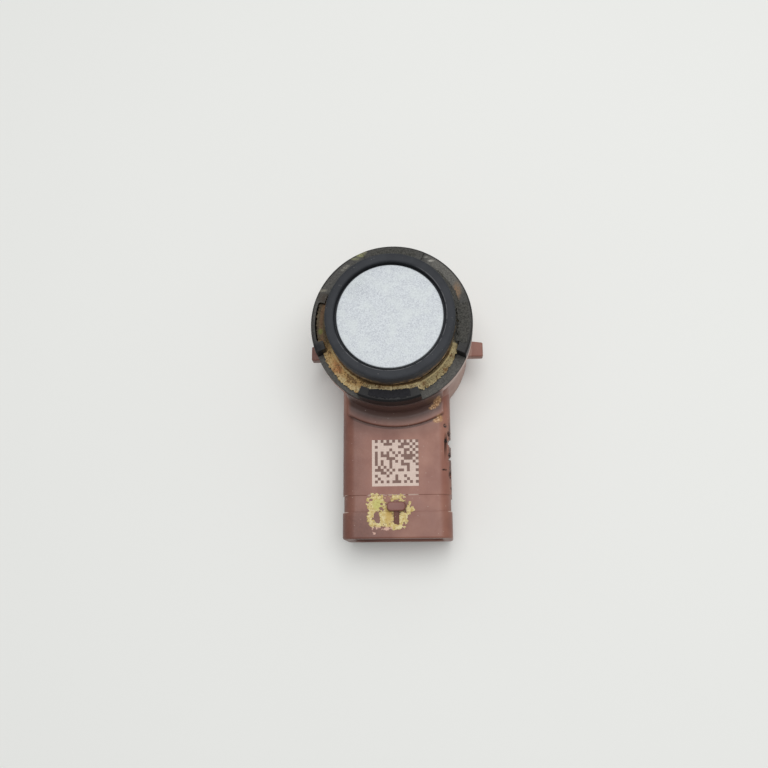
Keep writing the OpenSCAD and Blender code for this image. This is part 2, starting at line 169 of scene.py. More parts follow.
@named
class HousingSettings(bpy.types.PropertyGroup):
    """Sizes and colours of the reddish-brown moulding"""
    pot_radius: length("Radius of the pot's wall", 11.25)
    back_round: length("Round of the back's edge", 0.6)
    flange_height: length("Height of the rim flange", 2.1)
    arm_half_width: length("Half of the arm's width", 8.27)
    arm_bottom: length("Height of the arm's underside", 2.05)
    arm_top: length("Height of the arm's upper face", 11.3)
    arm_round: length("Round of the arm's upper edges", 2.0)
    arm_under_round: length("Round of the arm's lower edges", 1.0)
    collar_length: length("Length of the collar at the mouth", 4.0)
    collar_proud: length("How far the collar stands proud", 0.04)
    groove_width: length("Width of the shallow groove behind the collar", 2.5)
    groove_depth: length("Depth of the shallow groove", 0.15)
    neck_radius: length("Radius of the neck's low step", 14.2)
    neck_wall_radius: length("Radius of the neck's wall", 12.1)
    neck_rise: length("Height of the neck's step above the arm", 0.5)
    neck_half_width: length("Half of the neck's width", 7.3)
    neck_foot: length("Hollow round at the foot of the neck's wall", 0.9)
    tab_width: length("Width of a side tab", 2.75)
    tab_thickness: length("Thickness of a side tab", 1.8)
    tab_top: length("Height of a side tab's upper face", 7.7)
    tab_shift: length("Offset of the tabs towards the arm", 1.0)
    socket_width: length("Width of the connector's socket", 13.5)
    socket_height: length("Height of the connector's socket", 6.85)
    socket_depth: length("Depth of the connector's socket", 10.5)
    latch_width: length("Width of the latch's head", 2.8)
    latch_length: length("Length of the latch's head", 1.4)
    latch_round: length("Round of the latch head's ends", 0.6)
    latch_back: length("Distance of the latch's catch face from the mouth", 5.4)
    latch_height: length("Height of the latch above the arm", 1.2)
    ramp_width: length("Width of the ramp in front of the latch", 0.8)
    ramp_length: length("Length of that ramp", 2.0)
    ramp_height: length("Height of that ramp where it meets the latch", 0.6)
    plastic: tint("Colour of the moulding", 138, 93, 80)
    faded: tint("Colour where the moulding has faded", 153, 108, 92)
    mark: tint("Colour of the cells burnt into the arm", 212, 192, 180)
    # Colour of the painted shade laid along the arm's left side, on the left tab and at the mouth
    shaded: tint("Colour along the arm's shadowed left side", 98, 64, 56)
    scuff: tint("Colour in the gouges along the arm's edge", 58, 50, 47)


@named
class SleeveSettings(bpy.types.PropertyGroup):
    """Sizes and colours of the black sleeve with its four lugs"""
    inner_radius: length("Radius of the sleeve's bore", 9.6)
    channel_radius: length("Outer radius of the channel round the rubber", 10.45)
    pocket_radius: length("Outer radius of the pocket in a lug", 11.35)
    seat_radius: length("Radius of the sleeve's foot", 10.25)
    rim_radius: length("Radius of the sleeve where it fills the flange", 10.8)
    rim_depth: length("Depth of the wide part below the flange's top", 1.4)
    ledge_thickness: length("Thickness of the ledge on the flange", 0.4)
    channel_depth: length("Depth of the channel below the ledge", 0.7)
    lug_angle: turn("Angle that each lug spans", 46)
    lug_turn: turn("Turn of the lugs about the axis", -2)
    lug_end: turn("Angle that the rib at a lug's end spans", 7)
    lug_round: length("Round of a lug's outer top edge", 0.4)
    rear_drop: length("How far the walls between the rear lugs stay below the lugs", 0.3)
    plastic: tint("Colour of the sleeve", 17, 17, 19)
    dust: tint("Colour of the dust", 127, 125, 119)


@named
class HeadSettings(bpy.types.PropertyGroup):
    """Sizes and colours of the rubber ring and the membrane"""
    root_relief: length("How much slimmer the ring is below its nose", 0.35)
    nose_gap: length("Gap between the lugs' tops and the nose", 0.05)
    nose_round: length("Round of the nose's outer edge", 0.45)
    lip_round: length("Round of the nose's inner edge", 0.3)
    membrane_radius: length("Radius of the membrane's face", 7.75)
    membrane_thickness: length("Thickness of the membrane's face", 0.7)
    cup_wall: length("Side wall of the membrane cup", 1.2)
    cup_rim_height: length("Height of the rim at the cup's foot", 1.0)
    groove_width: length("Width of the groove round the membrane", 0.4)
    groove_depth: length("Depth of that groove below the face", 0.9)
    base_radius: length("Radius of the ring's base flange", 10.25)
    base_thickness: length("Thickness of the ring's base flange", 1.2)
    lip_reach: length("How far the rubber reaches in under the cup", 0.5)
    rubber: tint("Colour of the ring", 48, 50, 54)
    paint: tint("Colour of the membrane's paint", 213, 219, 222)


@named
class DirtSettings(bpy.types.PropertyGroup):
    """Colours and sizes of the dirt on the head and the residue on the arm"""
    grain: length("Size of the dirt's lumps", 0.4)
    lump: length("Height of the dirt's lumps", 0.12)
    ragged: length("How far the dirt's outer edge wanders", 0.16)
    body: length("Thickness of the dirt under its surface", 0.3)
    golden: tint("Colour of the dirt in the channel", 198, 162, 108)
    olive: tint("Colour of the dirt at the right", 154, 141, 106)
    # Also laid next to the ring at the front, where it is partly painted shade under the ring's nose
    brown: tint("Colour of the dirt in hollows", 122, 94, 64)
    cream: tint("Colour of the dry crumbs", 204, 188, 146)
    residue: tint("Colour of the crust round the latch", 196, 174, 112)
    residue_pale: tint("Colour of the crust where it is dry", 222, 208, 162)
    crust: length("Thickness of the crust round the latch", 0.12)


@named
class StageSettings(bpy.types.PropertyGroup):
    """Camera, light and floor"""
    camera_place: place_of("Where the camera stands", 8.879 * MM, -38.834 * MM, 145.522 * MM)
    camera_aim: place_of("The point in the middle of the picture", -2.671 * MM, -4.737 * MM, 0.0)
    camera_roll: turn("Turn of the camera about its line of sight", -0.34)
    lens: FloatProperty(description="Focal length in millimetres", default=41.92, min=1)
    floor: tint("Colour of the floor", 231, 232, 229)
    lamp_place: place_of("Where the softbox hangs", 0.06, 0.05, 0.5)
    lamp_size: FloatProperty(description="Side of the softbox", default=0.34, unit="LENGTH")
    lamp_power: FloatProperty(description="Power of the softbox in watts", default=1.9, min=0)
    sky_strength: FloatProperty(description="Strength of the even light", default=0.36, min=0)


# Modelling

def deselect():
    """Goes to object mode with nothing selected."""
    if bpy.context.mode != "OBJECT":
        bpy.ops.object.mode_set(mode="OBJECT")
    bpy.ops.object.select_all(action="DESELECT")


def activate(piece):
    """Makes a piece the only selected and the active object."""
    deselect()
    piece.select_set(True)
    bpy.context.view_layer.objects.active = piece


def edit(piece):
    activate(piece)
    bpy.ops.object.mode_set(mode="EDIT")


def leave_edit():
    bpy.ops.object.mode_set(mode="OBJECT")


def pick(piece, kind, test):
    """Selects, in edit mode, the points, edges or faces that pass a test, and no others."""
    bpy.ops.mesh.select_mode(type=kind)
    bpy.ops.mesh.select_all(action="DESELECT")
    mesh = bmesh.from_edit_mesh(piece.data)
    group = {"VERT": mesh.verts, "EDGE": mesh.edges, "FACE": mesh.faces}[kind]
    found = [part for part in group if test(part)]
    for part in found:
        part.select_set(True)
    mesh.select_flush_mode()
    bmesh.update_edit_mesh(piece.data)
    if not found:
        raise RuntimeError(f"nothing to pick on {piece.name}")


def spans(edge, test):
    """Says whether both ends of an edge pass a test of place."""
    return all(test(point.co) for point in edge.verts)


def near(first, second):
    return abs(first - second) < NEAR


def is_corner(edge):
    return edge.calc_face_angle(0) > CORNER_TURN


def runs_along(edge, axis):
    """Says whether an edge runs along an axis: 0, 1 or 2."""
    line = edge.verts[0].co - edge.verts[1].co
    return abs(line[axis]) > ALONG * line.length


def pick_front(piece):
    """Selects, in edit mode, the faces that look towards the arm's mouth."""
    pick(piece, "FACE", lambda face: face.normal.y < -FACING)


def round_edges(piece, width, steps, test):
    """Rounds, in edit mode, the edges that pass a test."""
    pick(piece, "EDGE", test)
    bpy.ops.mesh.bevel(offset=width, segments=steps, affect="EDGES", clamp_overlap=True)


def draw_out(x, y, z):
    """Extrudes what is selected by a step."""
    bpy.ops.mesh.extrude_region_move(TRANSFORM_OT_translate={"value": (x, y, z)})


def stretch(size, centre):
    """Resizes what is selected about a centre."""
    bpy.ops.transform.resize(value=size, center_override=centre)


def finished_shape(name):
    """Names the shape just added and makes its place its own."""
    piece = bpy.context.object
    piece.name = name
    bpy.ops.object.transform_apply(location=True, rotation=True, scale=True)
    return piece


def tidy(piece):
    """Merges doubles and turns the faces of a closed piece outwards."""
    edit(piece)
    bpy.ops.mesh.select_all(action="SELECT")
    bpy.ops.mesh.remove_doubles(threshold=WELD)
    bpy.ops.mesh.normals_make_consistent(inside=False)
    leave_edit()


def soften(corners):
    """Rounds the corners of an outline: each corner is two coordinates and its round."""
    points = []
    last = len(corners) - 1
    for index, (across, up, *rest) in enumerate(corners):
        here = Vector((across, up))
        size = rest[0] if rest else 0
        if not size or index in (0, last):
            points.append((across, up))
            continue
        back = (Vector(corners[index - 1][:2]) - here).normalized()
        ahead = (Vector(corners[index + 1][:2]) - here).normalized()
        half = back.angle(ahead) / 2
        centre = here + (back + ahead).normalized() * size / math.sin(half)
        first = here + back * size / math.tan(half) - centre
        sweep = first.angle_signed(here + ahead * size / math.tan(half) - centre)
        for step in range(ARC_STEPS + 1):
            turned_by = Matrix.Rotation(-sweep * step / ARC_STEPS, 2) @ first
            points.append(tuple(centre + turned_by))
    return points


def turned(name, corners, closed=False):
    """Turns an outline of radius and height about the head's axis, ring by ring, into a solid."""
    outline = soften(corners)
    deselect()
    radius, height = outline[0]
    fill = "NOTHING" if closed else "NGON"
    bpy.ops.mesh.primitive_circle_add(vertices=SIDES, radius=radius, fill_type=fill, location=(0, 0, height))
    piece = finished_shape(name)
    bpy.ops.object.mode_set(mode="EDIT")
    bpy.ops.mesh.select_all(action="SELECT")
    for next_radius, next_height in outline[1:] + outline[:1] * closed:
        draw_out(0, 0, next_height - height)
        size = next_radius / radius
        stretch((size, size, 1), (0, 0, next_height))
        radius, height = next_radius, next_height
    tidy(piece)
    return piece


def block(name, low, high):
    """Adds a box between two corners."""
    deselect()
    low, high = Vector(low), Vector(high)
    bpy.ops.mesh.primitive_cube_add(size=1, location=(low + high) / 2, scale=high - low)
    return finished_shape(name)


def cut_away(piece, point, normal):
    """Cuts a solid on a plane, removes what the normal points to and closes the cut."""
    edit(piece)
    bpy.ops.mesh.select_all(action="SELECT")
    bpy.ops.mesh.bisect(plane_co=point, plane_no=normal, clear_outer=True, use_fill=True, threshold=WELD)
    tidy(piece)


def modify(piece, kind, **traits):
    """Adds a modifier to a piece and applies it."""
    activate(piece)
    step = piece.modifiers.new("step", kind)
    for name, value in traits.items():
        setattr(step, name, value)
    bpy.ops.object.modifier_apply(modifier=step.name)


def combine(piece, other, operation, solver="EXACT"):
    """Joins another solid to a piece or cuts it out, and removes the other."""
    modify(piece, "BOOLEAN", operation=operation, object=other, solver=solver)
    bpy.data.objects.remove(other)


def smooth(piece, degrees=MOULDED_ANGLE):
    """Smooths the round faces and keeps the flat ones flat."""
    activate(piece)
    bpy.ops.object.shade_smooth_by_angle(angle=math.radians(degrees))
    modify(piece, "WEIGHTED_NORMAL", keep_sharp=True, weight=80)


def place(piece, material, slot, *nodes):
    """Gives a finished piece its material and body, and hides the solids that it stands for."""
    piece.data.materials.clear()
    piece.data.materials.append(material)
    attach(piece, "root")
    if nodes:
        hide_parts(*nodes)


# Materials

class Value:
    """A socket of a node tree, so that masks and measures are written as plain sums."""

    def __init__(self, nodes, socket):
        self.nodes = nodes
        self.socket = socket

    def __add__(self, other):
        return self.nodes.math("ADD", self, other)

    def __sub__(self, other):
        return self.nodes.math("SUBTRACT", self, other)

    def __mul__(self, other):
        return self.nodes.math("MULTIPLY", self, other)

    def __or__(self, other):
        return self.nodes.math("MAXIMUM", self, other)

    def __gt__(self, other):
        return self.nodes.math("GREATER_THAN", self, other)

    def __lt__(self, other):
        return self.nodes.math("LESS_THAN", self, other)

    def rise(self, low, high):
        """Goes smoothly from 0 to 1 as the value goes from low to high."""
        inputs = {"Value": self, "From Min": low, "From Max": high}
        return self.nodes.out("ShaderNodeMapRange", inputs, interpolation_type="SMOOTHSTEP")

    def level(self, low, high):
        """Spreads a value from 0 to 1 between two levels."""
        return self.nodes.out("ShaderNodeMapRange", {"Value": self, "To Min": low, "To Max": high})

    def between(self, low, high, edge):
        """Is 1 between two values, with soft edges."""
        return self.rise(low - edge, low + edge) * self.rise(high + edge, high - edge)


class Nodes:
    """Adds and joins the nodes of one material, world or node group."""

    def __init__(self, tree):
        self.tree = tree

    def feed(self, socket, value):
        if isinstance(value, Value):
            self.tree.links.new(value.socket, socket)
        elif socket.type == "RGBA":
            socket.default_value = (*value[:3], 1)
        else:
            socket.default_value = value

    def add(self, kind, inputs=None, **traits):
        node = self.tree.nodes.new(kind)
        for name, value in traits.items():
            setattr(node, name, value)
        for name, value in (inputs or {}).items():
            self.feed(node.inputs[name], value)
        return node

    def outs(self, kind, inputs=None, **traits):
        """Adds a node and gives its outputs."""
        return [Value(self, socket) for socket in self.add(kind, inputs, **traits).outputs]

    def out(self, kind, inputs=None, output=0, **traits):
        """Adds a node and gives one output."""
        return Value(self, self.add(kind, inputs, **traits).outputs[output])

    def math(self, operation, first, second=0.0):
        return self.out("ShaderNodeMath", {0: first, 1: second}, operation=operation)

    def vector(self, operation, first, second):
        return self.out("ShaderNodeVectorMath", {0: first, 1: second}, operation=operation)

    def noise(self, vector, scale, detail=3.0, roughness=0.55):
        inputs = {"Vector": vector, "Scale": scale, "Detail": detail, "Roughness": roughness}
        return self.out("ShaderNodeTexNoise", inputs)

    def mix(self, part, first, second):
        """Blends two colours."""
        inputs = {0: part, 6: first, 7: second}
        return self.out("ShaderNodeMix", inputs, 2, data_type="RGBA", clamp_factor=True)


class Paint(Nodes):
    """The nodes of one material, its colour so far, and the place on the piece in millimetres."""

    def __init__(self, name, **sockets):
        self.material = bpy.data.materials.new(name)
        self.material.use_nodes = True
        super().__init__(self.material.node_tree)
        self.shader = self.tree.nodes["Principled BSDF"]
        for socket, value in sockets.items():
            self.input(socket.replace("_", " ").title().replace("Ior", "IOR")).default_value = value
        here = self.out("ShaderNodeTexCoord", output="Object")
        self.spot = self.out("ShaderNodeVectorMath", {0: here, "Scale": 1 / MM}, operation="SCALE")
        self.x, self.y, self.z = self.outs("ShaderNodeSeparateXYZ", {0: self.spot})
        self.radius = self.math("SQRT", self.x * self.x + self.y * self.y)

    def input(self, name):
        return self.shader.inputs[name]

    def grain(self, scale, detail=3.0, roughness=0.55):
        return self.noise(self.spot, scale, detail, roughness)

    def blob(self, centre, reach, edge):
        """Is 1 inside an ellipsoid about a centre, with a soft edge."""
        away = self.vector("DIVIDE", self.vector("SUBTRACT", self.spot, centre), reach)
        far = self.out("ShaderNodeVectorMath", {0: away}, "Value", operation="LENGTH")
        return far.rise(1 + edge, 1 - edge)

    def cover(self, mask, tone):
        """Lays a colour over the colour so far."""
        self.colour = self.mix(mask, self.colour, tone)

    def finish(self, roughness=None, height=None, depth=0.0):
        """Joins the colour, any roughness and any bump, its depth in millimetres, and gives the material."""
        self.feed(self.input("Base Color"), self.colour)
        if roughness is not None:
            self.feed(self.input("Roughness"), roughness)
        if height is not None:
            bump = self.out("ShaderNodeBump", {"Height": height, "Distance": depth * MM})
            self.feed(self.input("Normal"), bump)
        return self.material


def greatest(masks):
    """Joins some masks into one."""
    masks = list(masks)
    result = masks[0]
    for mask in masks[1:]:
        result = result | mask
    return result


def shared(paint, name, inputs, outputs, build):
    """Places a shared node group, built the first time, and gives its outputs."""
    tree = bpy.data.node_groups.get(name)
    if tree is None:
        tree = bpy.data.node_groups.new(name, "ShaderNodeTree")
        for title in inputs:
            kind = "NodeSocketVector" if title == "Place" else "NodeSocketFloat"
            tree.interface.new_socket(title, in_out="INPUT", socket_type=kind)
        for title in outputs:
            tree.interface.new_socket(title, in_out="OUTPUT", socket_type="NodeSocketFloat")
        nodes = Nodes(tree)
        results = build(nodes, *nodes.outs("NodeGroupInput")[:len(inputs)])
        nodes.add("NodeGroupOutput", dict(zip(outputs, results)))
    return paint.outs("ShaderNodeGroup", inputs, node_tree=tree)


def moulded(paint, grain):
    """Gives the height, gloss and mottle of a moulded surface, its grain in lumps a millimetre."""
    def build(nodes, spot, grain):
        fine = nodes.noise(spot, grain, 2.0)
        wide = nodes.noise(spot, grain * 0.06, 4.0)
        return fine + wide * 0.6, fine * 0.3 + wide, wide
    inputs = {"Place": paint.spot, "Grain": grain}
    return shared(paint, "Moulded surface", inputs, ("Height", "Gloss", "Mottle"), build)


def specks(paint, spacing, amount):
    """Gives small specks of dust, their spacing in millimetres, thinned out by a wide noise."""
    def build(nodes, spot, spacing, amount):
        scale = nodes.math("DIVIDE", 1.0, spacing)
        spots = nodes.out("ShaderNodeTexVoronoi", {"Vector": spot, "Scale": scale}, "Distance")
        reach = nodes.noise(spot, 1.7, 2.0) * amount
        return [spots.rise(reach, reach * 0.4)]
    inputs = {"Place": paint.spot, "Spacing": spacing, "Amount": amount}
    return shared(paint, "Dust specks", inputs, ("Specks",), build)[0]


# Places and sizes in the finishes, and in the tables of marks, are in millimetres

# The field of cells on the arm: its corner, a cell's side, the number of cells and the pattern's seed
CELL_CORNER = (-3.67, -23.2)
CELL_SIDE = 0.441
CELL_COUNT = 16
CELL_SEED = 7.3
# Share of dark cells, and how much likelier every other cell is to be lit
CELL_DARK = 0.56
CELL_ODD = 0.34

# Gouges along the arm's right edge: centre and half sizes
GOUGES = (
    ((7.55, -14.05, 10.95), (0.3, 0.3, 0.3)),
    ((8.05, -15.25, 10.3), (0.28, 0.4, 0.5)),
    ((7.6, -16.4, 10.9), (0.32, 0.28, 0.3)),
    ((8.9, -16.95, 11.0), (1.15, 0.75, 24.0)),
    ((8.15, -18.5, 10.1), (0.35, 0.35, 0.6)),
    ((8.75, -19.3, 11.0), (0.85, 0.42, 24.0)),
    ((7.4, -20.8, 11.0), (0.75, 0.13, 0.22)),
    ((8.2, -21.5, 9.9), (0.35, 0.55, 0.8)),
    ((8.25, -23.5, 9.6), (0.2, 0.22, 0.5)),
)
# A gouge taller than this goes through the edge and has no dark scuff round it
NOTCH_HEIGHT = 1.0
# Golden dirt caught at the right end of the neck: centre and half sizes
NECK_DIRT = (
    ((6.6, -10.25, 12.6), (0.4, 0.5, 1.6)),
    ((6.3, -10.8, 12.5), (0.45, 0.5, 1.6)),
    ((5.85, -11.25, 12.3), (0.4, 0.32, 1.5)),
    ((5.4, -11.5, 12.2), (0.3, 0.2, 1.5)),
    ((6.75, -13.0, 11.6), (0.5, 0.55, 0.8)),
    ((6.2, -13.3, 11.6), (0.5, 0.35, 0.8)),
)


def cell_field(paint):
    """Gives the masks of the burnt cells and of their whole field: a made-up pattern."""
    column, row = [paint.math("FLOOR", paint.math("DIVIDE", place - corner, CELL_SIDE))
                   for place, corner in zip((paint.x, paint.y), CELL_CORNER)]
    cell = paint.out("ShaderNodeCombineXYZ", {"X": column, "Y": row, "Z": CELL_SEED})
    chance = paint.out("ShaderNodeTexWhiteNoise", {"Vector": cell}, "Value", noise_dimensions="3D")
    odd = paint.math("FLOORED_MODULO", column + row, 2.0)
    lit = chance + odd * CELL_ODD > CELL_DARK
    edge = (column > CELL_COUNT - 1.5) | (row > CELL_COUNT - 1.5)
    lit = paint.out("ShaderNodeMix", {0: edge, 2: lit, 3: odd})
    bars = (column < 0.5) | (row < 0.5)
    field = (column > -0.5) * (row > -0.5) * (column < CELL_COUNT - 0.5) * (row < CELL_COUNT - 0.5)
    return (lit | bars) * field, field


def faded_and_shaded_plastic(paint, form, mottle, worn):
    """Lays on the plastic's own colours, faded in streaks, and a painted shade that darkens the arm's left
    side, the left tab and the mouth.
    """
    x, y = paint.x, paint.y
    collar = -(ARM_REACH - form.collar_length) / MM
    paint.colour = paint.mix(paint.grain(0.16).rise(0.35, 0.68), form.plastic, form.faded)
    streaks = paint.noise(paint.vector("MULTIPLY", paint.spot, (1.6, 0.25, 0.6)), 1.0, 4.0)
    paint.cover(streaks.rise(0.45, 0.75).level(0.0, 0.22), form.faded)
    paint.cover(mottle.rise(0.4, 0.75).level(0.0, 0.35), shade(120, 78, 68))
    # Painted shade: the arm's left side, the left tab in the head's shadow, and the mouth, most at its left,
    # are darkened
    left = x.rise(-2.5, -8.2) * y.rise(-8.0, -14.0) * 0.85
    mouth = y.rise(collar + 2.0, collar - 1.0) * x.rise(3.0, -6.0).level(0.3, 1.0)
    paint.cover((left | x.rise(-11.4, -12.0) | mouth) * worn.level(0.5, 1.0), form.shaded)


def burnt_cells(paint, form):
    """Burns the field of cells into the arm's upper face and gives its mask."""
    top = form.arm_top / MM
    cells, field = cell_field(paint)
    face = paint.z.rise(top - 0.3, top - 0.2)
    paint.cover(field * face * 0.7, shade(92, 70, 60))
    burnt = cells * face * paint.grain(5.0, 2.0).level(0.7, 1.15)
    paint.cover(burnt, form.mark)
    return burnt


def pale_seams(paint, form):
    """Draws the pale, broken lines along the groove's two edges."""
    x, y = paint.x, paint.y
    collar = -(ARM_REACH - form.collar_length) / MM
    groove = collar + form.groove_width / MM
    above = paint.z.rise(8.4, 9.4)
    rear = y.between(groove - 0.06, groove + 0.06, 0.04) * paint.grain(0.9).rise(0.4, 0.5) * above
    rear = rear * (x.between(-4.4, 3.3, 0.2) | x.rise(-7.3, -7.7))
    front = y.between(collar - 0.08, collar + 0.04, 0.04) * above * (x.rise(-7.1, -7.6) | x.rise(7.6, 7.9))
    paint.cover(rear | front, shade(206, 184, 172))


def edge_scuffs(paint, form, worn):
    """Darkens the gouges and the ragged right edge of the arm and gives their mask."""
    small = [(centre, reach) for centre, reach in GOUGES if reach[2] < NOTCH_HEIGHT]
    pits = greatest(paint.blob(centre, Vector(reach) * 1.12, 0.3) for centre, reach in small)
    ragged = paint.x + paint.grain(4.4, 4.0, 0.7) * 1.3
    strip = ragged.rise(8.62, 8.8) * paint.y.between(-22.0, -13.6, 1.0) * 0.75
    scuff = pits * worn.rise(0.36, 0.5) * paint.z.rise(8.2, 9.6) | strip * paint.z.rise(8.9, 9.9)
    paint.cover(scuff, form.scuff)
    return scuff


def flange_dust_and_light(paint, form, worn):
    """Paints the flange's and the pot's right front paler, partly a thin film of dust and partly painted
    light on that lit side, with a painted shadow line at the flange's foot.
    """
    foot = (FLANGE_TOP - form.flange_height) / MM
    side = paint.radius.between(11.1, 12.08, 0.05) * paint.x.rise(6.2, 7.9) * paint.y.rise(0.5, -2.0)
    amount = paint.z.rise(foot - 0.3, foot + 0.1).level(0.2, 0.55)
    # Paler film: partly dust and partly painted light
    paint.cover(side * amount * worn.level(0.6, 1.1), shade(222, 202, 190))
    # Painted shadow line under the flange
    paint.cover(side * paint.z.between(foot, foot + 0.4, 0.1) * 0.6, shade(84, 62, 52))


def latch_stain_and_neck_shade(paint, form, worn):
    """Darkens the latch's head, paints shade on the ramp in front of it, a darker patch round its foot that
    is partly stain and partly painted shadow, a painted shadow line along the neck's step, and painted shade
    on the neck's wall and the slope in front of it under the head.
    """
    x, y, z, radius = paint.x, paint.y, paint.z, paint.radius
    top, step = form.arm_top / MM, form.neck_radius / MM
    catch = -(ARM_REACH - form.latch_back) / MM
    ahead = catch - form.latch_length / MM
    latch = z.rise(top + 0.4, top + 0.7) * y.between(ahead - 0.2, catch + 0.2, 0.1)
    paint.cover(latch * 0.5, shade(102, 56, 56))

    # Painted shade on the ramp and along the neck's step, and a patch round the latch's foot that is partly
    # stain and partly painted shadow
    front = y.rise(-9.0, -10.0) * x.between(-7.1, 7.1, 0.4)
    line = front * radius.between(step - 0.05, step + 0.32, 0.08) * z.rise(top + 0.7, top + 0.4)
    ramp = x.between(-0.5, 0.5, 0.08) * y.between(ahead - 2.0, ahead, 0.1)
    ramp = ramp * z.rise(top - 0.1, top + 0.05) * worn.level(0.5, 1.0)
    below = paint.blob((0.1, catch - 0.9, top), (1.9, 1.15, 3.0), 0.35) * z.rise(top + 0.6, top + 0.2)
    paint.cover(ramp * 0.85 | below * 0.6 | line * 0.8, shade(84, 50, 40))

    # Painted shade on the neck's wall under the head and on the slope and arm in front of it
    wall = front * radius.rise(12.9, 12.2) * z.rise(top + 0.5, top + 1.2)
    wall = wall * paint.math("ABSOLUTE", x).rise(7.5, 3.5)
    slope = front * radius.rise(14.7, 12.6) * z.rise(top + 0.1, top + 0.4) * 0.75
    slope = slope | front * radius.rise(16.8, 14.2) * 0.28
    paint.cover(wall * 0.75 | slope, shade(43, 41, 41))


def caught_dirt(paint):
    """Lays golden dirt at the right end of the neck and gives its mask."""
    flecks = paint.grain(5.2, 4.0, 0.7)
    caught = greatest(paint.blob(centre, reach, 0.45) for centre, reach in NECK_DIRT) * flecks.rise(0.34, 0.5)
    paint.cover(caught, paint.mix(flecks.rise(0.5, 0.66), shade(176, 132, 90), shade(220, 192, 154)))
    return caught


def housing_plastic(form):
    """Makes the reddish-brown plastic, with its cells, seams, scuffs and caught dirt, a darker latch, and
    painted shade and painted light laid on as colour.
    """
    paint = Paint("housing_plastic", ior=1.5, specular_ior_level=0.3)
    height, gloss, mottle = moulded(paint, 7.0)
    worn = paint.grain(3.2)
    faded_and_shaded_plastic(paint, form, mottle, worn)
    burnt = burnt_cells(paint, form)
    pale_seams(paint, form)
    scuff = edge_scuffs(paint, form, worn)
    flange_dust_and_light(paint, form, worn)
    latch_stain_and_neck_shade(paint, form, worn)
    caught = caught_dirt(paint)
    paint.cover(specks(paint, 0.9, 0.17) * 0.5, shade(196, 178, 168))
    rough = gloss.level(0.26, 0.5) + burnt * 0.15
    return paint.finish(rough, height + (caught | scuff) * 1.4, 0.018)


# Marks on the sleeve: centre, half sizes and display colour
SLEEVE_MARKS = (
    ((-4.55, 10.75, 19.3), (0.75, 0.28, 0.4), (138, 138, 100)),
    ((-5.35, 10.2, 19.3), (0.6, 0.2, 0.4), (122, 122, 96)),
    # This mark paints the left lug's lower rib near black with no dust, as painted shade of the dark hole
    # there
    ((-10.85, -3.6, 19.4), (0.8, 0.65, 0.9), (24, 24, 26)),
    ((-3.95, 11.1, 19.3), (0.4, 0.22, 0.4), (140, 136, 112)),
    ((-7.3, 8.5, 19.3), (0.28, 0.16, 0.4), (116, 114, 106)),
    ((-6.9, 8.85, 19.3), (0.28, 0.16, 0.4), (132, 129, 120)),
    ((-6.5, 9.15, 19.3), (0.28, 0.14, 0.4), (116, 114, 106)),
    ((6.02, 9.5, 19.3), (0.42, 0.16, 0.4), (164, 162, 154)),
    ((5.3, 10.1, 19.3), (0.3, 0.12, 0.4), (128, 127, 120)),
    ((-10.1, 4.1, 19.4), (0.7, 0.8, 0.6), (62, 54, 46)),
    ((9.75, 4.5, 19.3), (0.55, 1.3, 0.5), (126, 104, 82)),
    ((-10.4, 5.35, 19.4), (0.75, 0.22, 0.5), (122, 118, 107)),
    ((-11.05, -0.8, 17.8), (0.2, 0.35, 0.6), (128, 132, 74)),
)


def sleeve_plastic(form):
    """Makes the black plastic: clean at the front, dusty at the rear and the left where it faces up."""
    paint = Paint("sleeve_plastic", ior=1.5, specular_ior_level=0.18)
    x, y, z, radius = paint.x, paint.y, paint.z, paint.radius
    ledge, edge = (FLANGE_TOP + form.ledge_thickness) / MM, SLEEVE_RADIUS / MM
    height, gloss, _ = moulded(paint, 9.0)
    normal = paint.out("ShaderNodeNewGeometry", output="Normal")
    facing = paint.outs("ShaderNodeSeparateXYZ", {0: normal})[2]
    lines = paint.math("SINE", radius * 38.0).rise(-1.0, 1.0).level(0.8, 1.0)
    grit = paint.grain(4.2, 5.0, 0.75).rise(0.36, 0.66).level(0.45, 1.1)
    rear = y.rise(-8.5, 4.0).level(0.03, 0.66) * x.rise(-4.0, -8.0).level(0.55, 0.74)
    right = x.rise(3.5, 6.5) * y.rise(3.0, 5.5) * 0.8
    lying = rear | right | z.rise(ledge + 0.2, ledge + 0.1) * 0.56
    clean = radius.rise(edge - 0.3, edge - 0.14) * y.rise(0.0, 2.0) * 0.85
    settled = facing.rise(0.3, 0.9) * lying * lines * grit * paint.math("SUBTRACT", 1.0, clean)
    dusty = settled | specks(paint, 0.6, 0.2) * 0.25
    paint.colour = paint.mix(dusty, form.plastic, form.dust)
    worn = paint.grain(6.5, 4.0, 0.75).rise(0.33, 0.52)
    for centre, reach, display in SLEEVE_MARKS:
        paint.cover(paint.blob(centre, reach, 0.6) * worn, shade(*display))
    return paint.finish(gloss.level(0.32, 0.5) + dusty * 0.4, height + settled * grit, 0.012)


